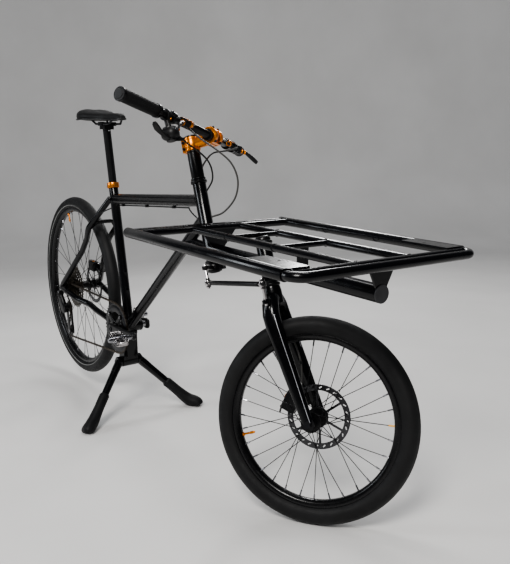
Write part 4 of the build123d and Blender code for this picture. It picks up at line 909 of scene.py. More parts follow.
def crank_arms():
    for side, name in ((-1, "right"), (1, "left")):
        far = -side * CRANK_LENGTH
        middle = side * 65.5
        stations = [
            ((-far * 0.11, middle, 0), 24, 9), ((-far * 0.08, middle, 0), 34, 12),
            ((0, middle, 0), 38, 13), ((far * 0.14, middle, 0), 33, 13),
            ((far * 0.5, middle, 0), 26, 12), ((far * 0.85, middle, 0), 25, 12.4),
            ((far, middle, 0), 28, 13), ((far * 1.055, middle, 0), 22, 12),
            ((far * 1.083, middle, 0), 10, 9),
        ]
        arm = loft(stations, (0, 0, 1), corner=0.46, steps=6)
        groove = loft([((far * 0.2, side * 72.1, 0), 7, 0.8), ((far * 0.28, side * 72.2, 0), 12, 0.8),
                       ((far * 0.7, side * 71.8, 0), 9, 0.8), ((far * 0.78, side * 71.7, 0), 5, 0.8)],
                      (0, 0, 1))
        outer = side * 72.0
        cap = lathe([(0, outer - side * 1), (9, outer - side * 1), (9.5, outer + side * 1.2),
                     (7, outer + side * 2.2), (5, outer + side * 1.0), (0, outer + side * 1.0)], 32)
        axle = rod((far, side * 70, 0), (far, side * 76.5, 0), 7.6, 0.6, 6)
        shaft = rod((far, side * 76, 0), (far, side * 150, 0), 4.9, 0.5)
        piece(f"crank_{name}_body", "crankset", "black_alloy", BLACK, CRANK, arm,
              replaces=(f"crank_arm_{name}",))
        piece(f"crank_{name}_inlay", "crankset", "black_alloy", SATIN, CRANK, groove)
        piece(f"crank_{name}_cap", "crankset", "dark_steel", DARK, CRANK, cap)
        piece(f"pedal_{name}_axle", "crankset", "stainless", STAINLESS, CRANK, axle, shaft)
    spindle = rod((0, -60, 0), (0, 60, 0), 11.8)
    piece("crank_spindle", "crankset", "stainless", STAINLESS, CRANK, spindle)


def pedal(side, name):
    """Clipless cage: barrel, two loops, latch plates with springs and bolts."""
    far = -side * CRANK_LENGTH
    place = CRANK @ at(far, 0, 0) @ turned(PEDAL_TILT[side], "Y")
    near, end = side * 77.5, side * 153.0
    barrel = lathe([(5.2, near), (8.5, near), (9.4, near + side * 2), (8.0, near + side * 10),
                    (10.5, near + side * 20), (10.5, end - side * 22), (8.4, end - side * 8),
                    (8.0, end - side * 1.5), (6.5, end), (0, end)], 40)
    middle = side * 116.0
    plates, bolts, springs = [], [], []
    for rise in (-1, 1):
        loop = rounded_path([(-31, middle - 20, rise * 5.5), (31, middle - 20, rise * 5.5),
                             (31, middle + 20, rise * 5.5), (-31, middle + 20, rise * 5.5),
                             (-31, middle - 18, rise * 5.5)], 9, 4)
        plates.append(tube(loop, 2.3, 8))
    for ahead in (-1, 1):
        x = ahead * 21
        plates.append(box((9, 30, 12), (x, middle, 0), 2.2, 3))
        plates.append(loft([((x + ahead * 8, middle, -8), 26, 3), ((x + ahead * 11, middle, 0), 30, 4),
                            ((x + ahead * 8, middle, 8), 26, 3)], (0, 1, 0)))
        plates.append(loft([((x - ahead * 9, middle, 9.5), 18, 2), ((x + ahead * 4, middle, 8.6), 26, 2.6)],
                           (0, 1, 0)))
        springs.append(spring((x, middle - 13, 0), (x, middle + 13, 0), 6.6, 1.2, 6))
        bolts.append(bolt((x + ahead * 4, middle - 8, 5.8), (0, 0, 1), 2.6, 2.0))
        bolts.append(bolt((x + ahead * 4, middle + 8, 5.8), (0, 0, 1), 2.6, 2.0))
    piece(f"pedal_{name}_barrel", f"pedal_{name}", "silver_alloy", SILVER, place, barrel,
          replaces=(f"pedal_{name}",))
    piece(f"pedal_{name}_cage", f"pedal_{name}", "silver_alloy", CHROME, place, *plates)
    piece(f"pedal_{name}_springs", f"pedal_{name}", "dark_steel", DARK, place, *springs)
    piece(f"pedal_{name}_bolts", f"pedal_{name}", "dark_steel", STAINLESS, place, *bolts)


def derailleur_details():
    """Body cover, cable barrel, cage plates and bolts on the derailleur."""
    y = -CHAINLINE + (GUIDE_PULLEY.x - BOTTOM_BRACKET.x) * tan(CHAIN_SKEW)
    guide = Vector((GUIDE_PULLEY.x, y, GUIDE_PULLEY.z))
    tension = Vector((TENSION_PULLEY.x, y, TENSION_PULLEY.z))
    hanger = Vector((REAR_AXLE.x - 14, y - 23, REAR_AXLE.z - 24))
    bolts = []
    for pulley_at in (guide, tension):
        bolts.append(bolt(pulley_at + Vector((0, -6.9, 0)), (0, -1, 0), 4.6, 2.4))
        bolts.append(rod(pulley_at + Vector((0, 6.9, 0)), pulley_at + Vector((0, 9, 0)), 4.6, 0.5, 20))
    bolts.append(bolt(hanger + Vector((0, -4, 0)), (0, -1, 0), 7.5, 5))
    cover = loft([(guide + Vector((0, -17, -24)), 26, 12), (guide + Vector((-8, -18, -6)), 42, 17),
                  (guide + Vector((-20, -20, 18)), 40, 19), (guide + Vector((-32, -21, 42)), 30, 15)],
                 (1, 0, 0.5), corner=0.45, steps=6)
    barrel = tube([guide + Vector((-30, -20, 26)), guide + Vector((-48, -18, 28))], 4.2, 12)
    plates = []
    for side in (-1, 1):
        reach = Vector((0, side * 7.6, 0))
        plates.append(loft([(guide + reach + Vector((-3, 0, 14)), 16, 2), (guide + reach, 27, 2.4),
                            ((guide + tension) / 2 + reach, 21, 2.4), (tension + reach, 26, 2.4),
                            (tension + reach + Vector((3, 0, -13)), 15, 2)], (1, 0, 0), corner=0.2))
    piece("derailleur_cover", "frame", "black_alloy", BLACK, DECK, cover, barrel, *plates)
    piece("derailleur_bolts", "frame", "dark_steel", STAINLESS, DECK, *bolts)


# ---- Cockpit, in the column's frame ----
GRIP_INNER, BAR_HALF = 236.0, 365.0
LEVER_AT, SHIFTER_AT = 176.0, 202.0
LEVER_DROOP = radians(36.0)
PIVOT_FORWARD = 42.0
STEM_REACH, STEM_HEIGHT = 64.0, 238.0
BAR_KNEES = ((44.0, 100.0, 253.0), (28.0, 230.0, 264.0), (4.0, 365.0, 281.0))


def along_bar(side, distance):
    """Point on the bar's centreline and the way outward, at a distance from its middle."""
    first = 1 if distance > 230 else 0
    inner, outer = (Vector((x, side * y, z)) for x, y, z in BAR_KNEES[first:first + 2])
    share = (distance - abs(inner.y)) / abs(outer.y - inner.y)
    return inner + (outer - inner) * share, (outer - inner).normalized()


def near_bar(side, distance, ahead=0.0, down=0.0):
    return along_bar(side, distance)[0] + Vector((ahead, 0, -down))


def lever_axes(side):
    point, way = along_bar(side, LEVER_AT)
    ahead = Vector((cos(LEVER_DROOP), 0, -sin(LEVER_DROOP)))
    up = (ahead.cross(way) * side).normalized()
    return point, way, (way.cross(up) * side).normalized(), up


def grips():
    for side, name in ((-1, "right"), (1, "left")):
        start, way = along_bar(side, GRIP_INNER)
        length = (along_bar(side, BAR_HALF)[0] - start).length
        path, radii = [], []
        count = 68
        for index in range(count + 1):
            share = index / count
            swell = 0.5 * sin(pi * share)
            groove = 0.0 if index % 2 else 0.45
            edge = 1.4 * max(0.0, 1 - share * 24) + 1.4 * max(0.0, 1 - (1 - share) * 24)
            path.append(start + way * (2 + (length - 4) * share))
            radii.append(16.2 + swell - groove - edge)
        sleeve = piece(f"grip_{name}_sleeve", "column", "grip_rubber", GRIP, COLUMN,
                       tube(path, radii, 40), replaces=("grips",) if side < 0 else (), smooth=70)
        soften(sleeve, 1)
        inner = band(start - way * 4, start + way * 6, 11.2, 17.6)
        outer = band(start + way * (length - 7), start + way * (length + 1.5), 11.2, 17.4)
        plug = rod(start + way * (length - 1), start + way * (length + 3), 13.0, 1.4, 32)
        screw = bolt(start + way + Vector((-13.5, 0, -10.5)), (-0.6, 0, -0.8), 2.2, 1.8)
        piece(f"grip_{name}_collars", "column", "black_alloy", SATIN, COLUMN, inner, outer)
        piece(f"grip_{name}_plug", "column", "black_plastic", PLASTIC, COLUMN, plug)
        piece(f"grip_{name}_screw", "column", "dark_steel", STAINLESS, COLUMN, screw)


def brakes():
    for side, name in ((-1, "right"), (1, "left")):
        point, way, ahead, up = lever_axes(side)
        pivot = point + ahead * PIVOT_FORWARD + way * 6
        knee = near_bar(side, 214, 50, 38)
        finger = near_bar(side, 240, 58, 50)
        tip = near_bar(side, 262, 68, 66)
        stations = [
            (pivot, 11, 9), (pivot + (knee - pivot) * 0.5, 9, 8), (knee, 10, 8),
            (knee + (finger - knee) * 0.5, 12, 7), (finger, 13, 6.5),
            (finger + (tip - finger) * 0.6, 13, 6), (tip, 12, 6), (tip + (tip - finger) * 0.12, 9, 4),
        ]
        blade = loft(stations, up, corner=0.42, steps=5)
        hub = rod(pivot - up * 5, pivot + up * 5, 7.4)
        pin = bolt(pivot + up * 9.5, up, 4.0, 2.4)
        under = bolt(pivot - up * 9.5, -up, 4.0, 2.4)
        rings = []
        for share in (0.35, 0.72):
            at_ring = pivot + (knee - pivot) * share
            way_ring = (knee - pivot).normalized()
            rings.append(band(at_ring - way_ring * 2.4, at_ring + way_ring * 2.4, 2.0, 6.6, 24))
        piece(f"brake_{name}_blade", f"brake_lever_{name}", "black_alloy", SATIN, COLUMN, blade, hub,
              replaces=(f"brake_lever_{name}",))
        piece(f"brake_{name}_adjusters", f"brake_lever_{name}", "orange_alloy", ORANGE, COLUMN, *rings)
        piece(f"brake_{name}_pivot_bolts", "column", "dark_steel", STAINLESS, COLUMN, pin, under)
        start = point + ahead * 24 + up * 3 - way * 44
        lid = loft([(start - way * 16 + up * 7.5, 6, 3), (start - way * 12 + up * 8.2, 8.5, 3.6),
                    (start + way * 28 + up * 8.6, 8.5, 3.6), (start + way * 35 + up * 7.6, 6, 3)],
                   ahead, corner=0.45, steps=5)
        lid_screws = [bolt(start + way * reach + up * 9.8, up, 1.9, 0.9) for reach in (-6, 23)]
        clamp_screws = [bolt(point + up * 15 + way * shift, up, 2.6, 2.6) for shift in (-4.4, 4.4)]
        nut = tube([start - way * 11.5, start - way * 16, start - way * 22], [5.2, 4.6, 3.4], 6)
        ribs = []
        for index in range(11):
            rib = start + way * (2 + 3 * index)
            ribs.append(band(rib, rib + way * 1.4, 8.2, 9.3, 32))
        piece(f"brake_{name}_lid", "column", "orange_alloy", ORANGE, COLUMN, lid)
        piece(f"brake_{name}_screws", "column", "dark_steel", STAINLESS, COLUMN, *lid_screws,
              *clamp_screws)
        piece(f"brake_{name}_hose_nut", "column", "black_alloy", DARK, COLUMN, nut)
        piece(f"brake_{name}_cylinder_ribs", "column", "black_alloy", BLACK, COLUMN, *ribs)


def shifter():
    centre = near_bar(-1, SHIFTER_AT, 4, 50)
    up = Vector((0, 0, 1))
    way = along_bar(-1, SHIFTER_AT)[1]
    pod = loft([
        (centre + up * 16, 27, 22), (centre + up * 11, 40, 34), (centre + up * 1, 46, 40),
        (centre - up * 8, 45, 39), (centre - up * 13, 37, 32), (centre - up * 15.5, 26, 22),
    ], (1, 0, 0), corner=0.42, steps=6)
    window = loft([(centre + Vector((20.5, -4, 5)), 14, 6), (centre + Vector((23.3, -5, 4)), 11, 4)],
                  (0, 1, 0.2))
    barrel_way = (Vector((0.25, 0, -0.25)) - way).normalized()
    root = centre - way * 14 - up * 2
    barrel = tube([root, root + barrel_way * 8, root + barrel_way * 9, root + barrel_way * 18,
                   root + barrel_way * 24], [5.4, 5.4, 6.4, 6.0, 3.2], 14)
    strut = loft([(along_bar(-1, SHIFTER_AT)[0] - up * 12, 12, 10), (centre + up * 12, 15, 13)], (1, 0, 0))
    screws = [bolt(centre + Vector((19, 13, 8)), (1, 0, 0), 3.2, 2.6),
              bolt(along_bar(-1, SHIFTER_AT)[0] + Vector((10, 4, -12)), (1, 0.3, -0.4), 3.2, 2.6)]
    piece("shifter_pod", "column", "black_plastic", PLASTIC, COLUMN, pod, strut)
    piece("shifter_window", "column", "black_plastic", GLASS, COLUMN, window)
    piece("shifter_barrel", "column", "black_plastic", PLASTIC, COLUMN, barrel)
    piece("shifter_screws", "column", "orange_alloy", ORANGE, COLUMN, *screws)
    low = centre - up * 17.0
    paddle = loft([
        (low + way * 2, 20, 4), (low + way * 16 + up * 1, 13, 4.5), (low + way * 30 + up * 5, 11, 5.5),
        (low + way * 44 + up * 11, 14, 6), (low + way * 54 + up * 17, 17, 7),
        (low + way * 61 + up * 26, 14, 6), (low + way * 62 + up * 31, 8, 4),
    ], (1, 0, 0), corner=0.45, steps=6)
    hub = rod(low + up * 1.6, low - up * 3, 12.5, 1.2, 36)
    release = loft([(low - way * 2 + Vector((8, 0, 0)), 8, 3.4),
                    (low - way * 18 + Vector((18, 0, 2)), 9, 4),
                    (low - way * 24 + Vector((22, 0, 4)), 6, 3)], (0, 0, 1))
    piece("shifter_paddle", "shifter_lever", "black_plastic", PLASTIC, COLUMN, paddle, hub, release,
          replaces=("shifter_lever",))


def stem_details():
    """Ribs round the clamps, the top cap's bolt and its ring."""
    ribs = []
    for shift in (-20.5, 20.5):
        ribs.append(band((STEM_REACH, shift - 2.2, STEM_HEIGHT), (STEM_REACH, shift + 2.2, STEM_HEIGHT),
                         16.1, 23.4, 48))
    for height in (217.0, 246.5):
        ribs.append(band((0, 0, height - 2.2), (0, 0, height + 2.2), 14.5, 21.6, 48))
    cap = bolt((0, 0, 255.5), (0, 0, 1), 4.4, 2.6)
    cap_ring = band((0, 0, 255.6), (0, 0, 257.2), 6.5, 14.5, 48)
    piece("stem_ribs", "column", "orange_alloy", ORANGE, COLUMN, *ribs)
    piece("stem_cap_bolt", "column", "dark_steel", STAINLESS, COLUMN, cap)
    piece("stem_cap_ring", "column", "black_alloy", SATIN, COLUMN, cap_ring)


FRONT_HOSE = ((3, -77, 933), (29, -53, 905), (58, -19, 875), (80, 11, 842), (88, 27, 798),
              (77, 26, 750), (47, 10, 711), (9, -4, 695))
GEAR_LOOP = ((19, -112, 912), (31, -90, 890), (41, -63, 870), (44, -38, 847), (34, -19, 820),
             (13, -6, 792), (-19, -5, 761))
REAR_HOSE = ((-103, 157, 880), (-104, 130, 872), (-104, 99, 868), (-103, 72, 864), (-100, 51, 850),
             (-104, 33, 820), (-96, 26, 775))
GEAR_TAIL = ((-121, 0, 708), (-108, -5, 703), (-90, -8, 696), (-66, -6, 684), (-48, -4, 676))
STAY_LOOP = ((-612, -2, 678), (-640, -8, 664), (-664, -24, 652), (-690, -34, 640), (-712, -40, 622))


def cables():
    hoses = (("front_brake_hose", FRONT_HOSE, CABLE_GREY, 2.5),
             ("gear_cable_loop", GEAR_LOOP, CABLE, 2.3),
             ("rear_brake_hose", REAR_HOSE, CABLE_GREY, 2.5))
    for name, path, look, radius in hoses:
        bridging(name, ("column", "frame"), (path[0], path[-1]), "black_plastic", look, DECK,
                 tube(flowing_path(path), radius, 12))
    piece("gear_cable_tail", "frame", "black_plastic", CABLE, DECK, tube(flowing_path(GEAR_TAIL), 2.2, 12))
    piece("gear_cable_stay_loop", "frame", "black_plastic", CABLE, DECK,
          tube(flowing_path(STAY_LOOP), 2.2, 12))


# ---- Saddle ----
SEAT_ANGLE = radians(78.2)
SEAT_UP = Vector((-cos(SEAT_ANGLE), 0, sin(SEAT_ANGLE)))
POST_TOP = BOTTOM_BRACKET + SEAT_UP * 700.0
SADDLE_STATIONS = (
    (-830, 40, 999, 972), (-824, 52, 1003, 968), (-806, 66, 1006, 963), (-780, 71, 1004, 962),
    (-750, 70, 999, 963), (-722, 58, 994, 964), (-696, 42, 991, 964), (-668, 31, 989, 963),
    (-636, 24, 988, 962), (-604, 21, 987, 962), (-574, 18, 984, 961), (-558, 13, 979, 962),
    (-552, 8, 974, 964),
)


def saddle_ring(x, half, top, bottom, count=32):
    middle = bottom + (top - bottom) * 0.34
    ring = []
    for index in range(count):
        angle = 2 * pi * index / count
        c, s = cos(angle), sin(angle)
        y = half * copysign(abs(c) ** 0.75, c)
        rise = (top - middle) * abs(s) ** 0.85 if s > 0 else -(middle - bottom) * abs(s) ** 0.6
        if s > 0 and half > 15:
            rise -= 3.2 * exp(-(y / 8.0) ** 2)
        ring.append((x, y, middle + rise))
    return ring


def saddle():
    rings = [saddle_ring(*station) for station in SADDLE_STATIONS]
    cover = piece("saddle_cover", "seat", "saddle_skin", SADDLE, DECK, skin(rings, caps=True),
                  replaces=("saddle",), smooth=80)
    soften(cover, 2)
    stitches = []
    for step in (5, 27):
        line = flowing_path([Vector(ring[step % 32]) + Vector((0, 0, 0.7)) for ring in rings[1:-1]], 8)
        side = 1 if step == 5 else -1
        for index in range(0, len(line) - 2, 2):
            lift = Vector((0, side * 0.2, 0.5))
            stitches.append(tube([line[index] + lift, line[index + 1] + lift], 0.55, 6))
    piece("saddle_stitches", "seat", "saddle_skin", THREAD, DECK, *stitches)
    edge = [(x, half * 0.97, bottom + 3.4) for x, half, _, bottom in SADDLE_STATIONS]
    other = [(x, -y, z) for x, y, z in reversed(edge)]
    trim = tube(flowing_path(edge + other), 2.0, 8)
    piece("saddle_trim", "seat", "black_plastic", PLASTIC, DECK, trim)
    clamp_top = POST_TOP + Vector((6, 0, 22.5))
    screws = [bolt(POST_TOP + Vector((shift, 0, -6)), (0, 0, -1), 3.6, 4) for shift in (-17, 22)]
    plates = [box((26, 12, 4), clamp_top + Vector((0, side * 22, -3.5)), 1.2) for side in (-1, 1)]
    piece("seat_clamp_plates", "seat", "black_alloy", SATIN, DECK, *plates)
    piece("seat_clamp_screws", "seat", "dark_steel", STAINLESS, DECK, *screws)


# ---- Stand ----
STAND_PIVOT = Vector((-562.0, 0, 120.0))
STAND_FOOT = Vector((-446.0, 207.0, -61.3))
STAND_EYE_MIDDLE = 37.7


def stand():
    legs, boots, ribs, springs, eyes = [], [], [], [], []
    floor_up = Vector((-sin(NOSE_DOWN), 0, cos(NOSE_DOWN)))
    for side in (-1, 1):
        root = STAND_PIVOT + Vector((0, side * STAND_EYE_MIDDLE, 0))
        foot = Vector((STAND_FOOT.x, side * STAND_FOOT.y, STAND_FOOT.z))
        along = (foot - root).normalized()
        length = (foot - root).length
        across = along.cross(Vector((0, 1, 0))).normalized()
        stations = []
        for share, width, depth in ((-0.05, 24, 20), (0.0, 34, 26), (0.1, 33, 27), (0.2, 29, 26),
                                    (0.45, 27, 25), (0.72, 25, 23)):
            stations.append((root + along * length * share, width, depth))
        legs.append(loft(stations, across, corner=0.44, steps=6))
        eye = [STAND_PIVOT + Vector((0, side * reach, 0)) for reach in (28.6, 46)]
        eyes.append(rod(*eye, 19, 2.0, 36))
        toe = foot + floor_up * 9 + Vector((8, side * 5, 0))
        sole = foot + floor_up * 1.4 + Vector((10, side * 6, 0))
        boot = [(root + along * length * 0.47, 31, 29), (root + along * length * 0.485, 34, 32),
                (root + along * length * 0.66, 34, 32), (root + along * length * 0.78, 39, 36),
                (root + along * length * 0.88, 46, 40), (toe + along * -9, 52, 42),
                (toe, 54, 40), (sole, 52, 30)]
        boots.append(loft(boot, across, corner=0.42, steps=6))
        for index in range(5):
            share = 0.50 + 0.03 * index
            place = root + along * length * share
            rib = [(place, 36, 34), (place + along * 2.4, 36, 34)]
            ribs.append(loft(rib, across, corner=0.44, steps=6))
        springs.append(spring((STAND_PIVOT.x + 14, side * 20, STAND_PIVOT.z + 84),
                              (STAND_PIVOT.x + 20, side * 20, STAND_PIVOT.z + 20), 5.5, 1.5, 16, 6))
    piece("stand_leg_castings", "stand", "frame_paint", PAINT, DECK, *legs, *eyes,
          replaces=("stand_legs",))
    soles = piece("stand_rubber_boots", "stand", "boot_rubber", BOOT, DECK, *boots,
                  replaces=("stand_boots",))
    soften(soles, 1)
    piece("stand_boot_ribs", "stand", "boot_rubber", BOOT, DECK, *ribs)
    piece("stand_springs", "frame", "dark_steel", DARK, DECK, *springs)
    caps = [bolt((STAND_PIVOT.x, side * 48, STAND_PIVOT.z), (0, side, 0), 9, 4) for side in (-1, 1)]
    piece("stand_pivot_bolts", "stand", "dark_steel", DARK, DECK, *caps)


# ---- Welds, fork and caliper details ----
DECK_Z, RAIL_Y, DECK_LENGTH = 667.5, 247.0, 675.0
RAIL_R, CROSS_R, INNER_R, INNER_Y = 12.7, 9.5, 9.0, 76.0
PAIR_GAP = 29.0
CROSS_BARS = (0.0, PAIR_GAP, 205.0, 393.0, DECK_LENGTH - PAIR_GAP)
TOP_TUBE_R, SEAT_TUBE_R, DOWN_TUBE_R, BB_SHELL_R = 17.5, 16.0, 17.5, 21.0
TOP_TUBE = (Vector((-641.0, 0, 693.5)), Vector((-50.0, 0, 734.0)))
DOWN_TUBE_TOP = Vector((-30.0, 0, 690.5))
HEAD_ANGLE = radians(70.6)
HEAD_UP = Vector((-cos(HEAD_ANGLE), 0, sin(HEAD_ANGLE)))
HEAD_FOOT = Vector((-24.4, 0, DECK_Z))


def welds():
    beads = []
    for x in CROSS_BARS[1:]:
        for side in (-1, 1):
            rail = (x, side * RAIL_Y, DECK_Z)
            inner = (x, side * INNER_Y, DECK_Z)
            beads.append(weld(rail, (0, -side, 0), (1, 0, 0), CROSS_R, RAIL_R, 1.5))
            beads.append(weld(inner, (-1, 0, 0), (0, 1, 0), INNER_R, CROSS_R + 0.5, 1.4))
    beads.append(weld(TOP_TUBE[0], TOP_TUBE[1] - TOP_TUBE[0], SEAT_UP, TOP_TUBE_R, SEAT_TUBE_R, 2.2))
    head_point = HEAD_FOOT + HEAD_UP * 70
    beads.append(weld(head_point, TOP_TUBE[0] - TOP_TUBE[1], HEAD_UP, TOP_TUBE_R, 19.0, 2.2))
    beads.append(weld(BOTTOM_BRACKET, SEAT_UP, (0, 1, 0), SEAT_TUBE_R, BB_SHELL_R, 2.2))
    down_tube = DOWN_TUBE_TOP - BOTTOM_BRACKET
    beads.append(weld(BOTTOM_BRACKET, down_tube, (0, 1, 0), DOWN_TUBE_R, BB_SHELL_R, 2.2))
    piece("frame_welds", "frame", "frame_paint", PAINT, DECK, *beads)


# One fork blade from its tip to the middle of the crown: place, breadth, depth.
BLADE = (
    ((45, 56, 4), 27, 17.5), ((33.5, 53.5, 70), 31.5, 21.5), ((22.5, 50.5, 134), 36, 25),
    ((12, 47.5, 192), 39, 27.5), ((4, 45, 238), 42, 30), ((0, 41, 266), 42, 33),
    ((0, 33, 289), 41, 35), ((0, 19, 303), 40, 36), ((0, 0, 306), 40, 36),
)
FORK_HOSE = ((14, 52, 58), (19, 44, 92), (28, 33, 140), (22, 30, 190), (8, 31, 236), (-20, 30, 268))


def fork_details():
    """Blades and crown as one smooth hoop, with a painted highlight down each blade: a thin silver line on
    its front-outer edge.
    """
    hoop = [((x, -y, z), breadth, depth) for (x, y, z), breadth, depth in BLADE]
    hoop += BLADE[-2::-1]
    piece("fork_blades", "fork", "frame_paint", PAINT, FORK, loft(hoop, (1, 0, 0), corner=0.49, steps=8),
          smooth=60)
    # Painted highlight: a thin silver rod on each blade's front-outer edge, where the gloss paint catches
    # the light.
    lines = []
    for side in (-1, 1):
        painted_highlight_line = []
        for (x, y, z), breadth, depth in BLADE[:6]:
            past_flat = depth / 2 - 0.2 * breadth
            out = sqrt(depth * depth / 4 - past_flat * past_flat)
            painted_highlight_line.append((x + 0.3 * breadth, side * (y + out + 0.2), z))
        lines.append(tube(flowing_path(painted_highlight_line), 0.9, 8))
    piece("fork_painted_highlights", "fork", "stainless", PAINTED_HIGHLIGHT_SILVER, FORK, *lines)
    piece("fork_hose", "fork", "black_plastic", CABLE_GREY, FORK, tube(flowing_path(FORK_HOSE), 2.3, 12))
    clip = band((27, 32.2, 134), (27.6, 31.8, 142), 2.3, 4.2, 20)
    piece("fork_hose_clip", "fork", "black_plastic", PLASTIC, FORK, clip)


def caliper_details():
    """Piston covers, mounting bolts and the banjo on each brake caliper."""
    for name, place, turn, at_y in (("front", FRONT_WHEEL, -142, 38.0), ("rear", REAR_WHEEL, -88, 57.0)):
        where = place @ turned(turn, "Y") @ at(74, at_y, 0)
        covers = [rod((0, side * 12.6, -8), (0, side * 15.2, -8), 9.5, 0.9, 32) for side in (-1, 1)]
        covers += [rod((0, side * 12.6, 12), (0, side * 14.6, 12), 7.0, 0.9, 32) for side in (-1, 1)]
        body = [loft([((14, 0, -26), 20, 9), ((16, 0, -19), 23, 12), ((16, 0, 18), 23, 12),
                      ((13, 0, 27), 20, 9)], (0, 1, 0), corner=0.4, steps=5)]
        bolts = [bolt((12, 6, shift), (0.2, 1, 0), 4.4, 10) for shift in (-27, 27)]
        banjo = [rod((18, -8, 24), (18, 2, 24), 5.0, 0.6, 20),
                 tube(rounded_path([(18, -3, 24), (19, -3, 32), (17, -2, 40)], 5), 2.4, 10)]
        ring = [band((21.4, -4, -6), (23.0, -4, -6), 4.0, 6.0, 24)]
        body_name = "fork" if name == "front" else "frame"
        piece(f"{name}_caliper_body", body_name, "black_alloy", BLACK, where, *covers, *body)
        piece(f"{name}_caliper_bolts", body_name, "dark_steel", STAINLESS, where, *bolts)
        piece(f"{name}_caliper_hose", body_name, "black_plastic", CABLE_GREY, where, *banjo)
        piece(f"{name}_caliper_trim", body_name, "orange_alloy", ORANGE, where, *ring)


# ---- CAD nodes that stay visible ----
KEPT = {
    "main_frame": PAINT, "cargo_deck": PAINT, "headset_cups": BLACK, "bb_cups": BLACK,
    "rear_axle": DARK, "front_axle": DARK, "stand_bracket": BLACK,
    "steering_column": DARK, "column_spacers": BLACK, "stem": ORANGE, "stem_faceplate": ORANGE,
    "stem_cap": BLACK, "column_arm": BLACK, "rod_ends": CHROME, "rod_studs": CHROME,
    "tie_rod": BLACK, "fork": PAINT, "fork_cap": BLACK, "front_rotor": ROTOR, "rear_rotor": ROTOR,
    "seat_clamp": ORANGE, "seatpost": BLACK, "boom_cap": CAP_GREY, "frame_cables": CABLE,
    "rear_caliper": BLACK, "front_caliper": BLACK, "derailleur": BLACK, "handlebar": BLACK,
    "brake_bodies": BLACK, "reservoir_caps": ORANGE, "shifter_body": PLASTIC, "stem_bolts": DARK,
    "stand_pin": DARK, "saddle_rails": DARK,
}


def dress_kept_nodes():
    """Material, merged seams and softened edges on each CAD node still shown."""
    for name, surface_used in KEPT.items():
        node = frame["nodes"][name]
        if node.hide_render:
            continue
        node.data.materials.clear()
        node.data.materials.append(surface_used)
        merge = node.modifiers.new("Weld", "WELD")
        merge.merge_threshold = 0.000002
        edge = node.modifiers.new("Bevel", "BEVEL")
        edge.width = 0.0006
        edge.segments = 2
        edge.limit_method = "ANGLE"
        edge.angle_limit = radians(40)


# ---- Stage, light and camera ----
CAMERA_PLACE = Vector((1531.8, -959.1, 900.3))
CAMERA_HEADING = radians(144.232)
CAMERA_PITCH = radians(-12.03)
CAMERA_ROLL = radians(0.687)
FOCAL_SHARE = 1.164645        # focal length over picture height
SHIFT_X, SHIFT_Y = 0.00314, -0.00255
SENSOR = 36.0


def camera():
    ahead = Vector((cos(CAMERA_HEADING) * cos(CAMERA_PITCH),
                    sin(CAMERA_HEADING) * cos(CAMERA_PITCH), sin(CAMERA_PITCH)))
    right = Vector((sin(CAMERA_HEADING), -cos(CAMERA_HEADING), 0))
    up = right.cross(ahead)
    right_rolled = right * cos(CAMERA_ROLL) + up * sin(CAMERA_ROLL)
    up_rolled = up * cos(CAMERA_ROLL) - right * sin(CAMERA_ROLL)
    deck_turn = DECK.to_3x3().normalized()
    made = bpy.data.objects.new("camera", bpy.data.cameras.new("camera"))
    bpy.context.scene.collection.objects.link(made)
    turn = Matrix((right_rolled, up_rolled, -ahead)).transposed()
    made.matrix_world = Matrix.Translation(DECK @ CAMERA_PLACE) @ (deck_turn @ turn).to_4x4()
    made.data.sensor_width = SENSOR
    made.data.lens = SENSOR * FOCAL_SHARE
    made.data.shift_x = SHIFT_X
    made.data.shift_y = SHIFT_Y
    made.data.clip_end = 60.0
    bpy.context.scene.camera = made


def plain_stage():
    n = Nodes("pale_floor")
    clouds = n.noise(1.4, 6.0)
    tone = n.ramp(clouds, "Fac", 0.3, 0.7, (0.60, 0.59, 0.575), (0.66, 0.65, 0.635))
    n.join(tone, "Color", n.shader, "Base Color")
    n.shader.inputs["Roughness"].default_value = 0.75
    rings = []
    for x, z in ((9.0, 0.0), (-4.6, 0.0), (-5.5, 0.15), (-6.1, 0.8), (-6.3, 2.0), (-6.3, 9.0)):
        rings.append([(x, -9.0, z), (x, 9.0, z)])
    turn = Matrix.Rotation(radians(-36), 4, "Z")
    floor = new_object("floor", skin(rings, around=False), turn, n.material, smooth=80)


def area_light(name, place, target, size, power, colour=(1, 1, 1)):
    data = bpy.data.lights.new(name, "AREA")
    data.shape = "RECTANGLE"
    data.size, data.size_y = size
    data.energy = power
    data.color = colour
    made = bpy.data.objects.new(name, data)
    made.location = place
    way = Vector(target) - Vector(place)
    made.rotation_mode = "QUATERNION"
    made.rotation_quaternion = way.to_track_quat("-Z", "Y")
    bpy.context.scene.collection.objects.link(made)
    made.visible_camera = False


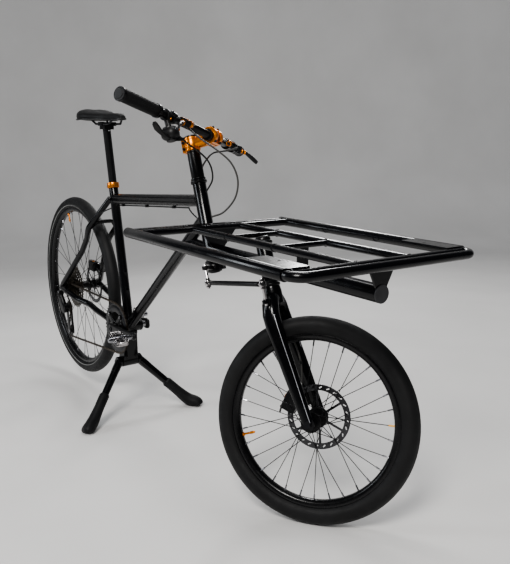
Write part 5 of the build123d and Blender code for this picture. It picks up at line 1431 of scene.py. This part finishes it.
def studio():
    world = bpy.data.worlds.new("studio")
    bpy.context.scene.world = world
    world.use_nodes = True
    nodes = world.node_tree
    sky = nodes.nodes["Background"]
    sky.inputs["Color"].default_value = (0.86, 0.88, 0.92, 1)
    path = nodes.nodes.new("ShaderNodeLightPath")
    dim = nodes.nodes.new("ShaderNodeMapRange")
    dim.inputs["To Min"].default_value = 0.42
    dim.inputs["To Max"].default_value = 0.05
    nodes.links.new(path.outputs["Is Glossy Ray"], dim.inputs["Value"])
    nodes.links.new(dim.outputs["Result"], sky.inputs["Strength"])
    middle = (0.2, 0, 0.5)
    area_light("key", (2.4, -2.2, 3.2), middle, (1.1, 1.1), 105, (1.0, 0.98, 0.95))
    area_light("fill", (-1.5, -3.2, 1.8), middle, (0.7, 1.6), 34, (0.92, 0.96, 1.0))
    area_light("top", (0.0, 0.6, 3.6), middle, (3.0, 0.5), 34)
    area_light("rim", (-2.0, 2.6, 2.6), middle, (0.5, 1.8), 34)
    bpy.context.scene.view_settings.view_transform = "AgX"
    bpy.context.scene.view_settings.look = "AgX - Medium High Contrast"
    bpy.context.scene.view_settings.exposure = 0.15


def build_wheels():
    wheel("front", "front_wheel", FRONT_WHEEL, *FRONT_TYRE, FRONT_BEAD, FRONT_FLANGES, 22, 12,
          FRONT_ROTOR_Y, 49.7, FRONT_FLANGES[1] - 8, FRONT_RUBBER, FRONT_VALVE_TURN, 144)
    wheel("rear", "rear_wheel", REAR_WHEEL, *REAR_TYRE, REAR_BEAD, REAR_FLANGES, 24, 15,
          REAR_ROTOR_Y, 70.7, REAR_FLANGES[1] - 4.5, REAR_RUBBER, REAR_VALVE_TURN, 180)


def build_drivetrain():
    chain()
    chainring()
    cassette()
    pulleys()
    crank_arms()
    pedal(-1, "right")
    pedal(1, "left")
    derailleur_details()


def build_cockpit():
    grips()
    brakes()
    shifter()
    stem_details()
    cables()


def build_frame_details():
    saddle()
    stand()
    welds()
    fork_details()
    caliper_details()


build_wheels()
build_drivetrain()
build_cockpit()
build_frame_details()
dress_kept_nodes()
plain_stage()
studio()
camera()
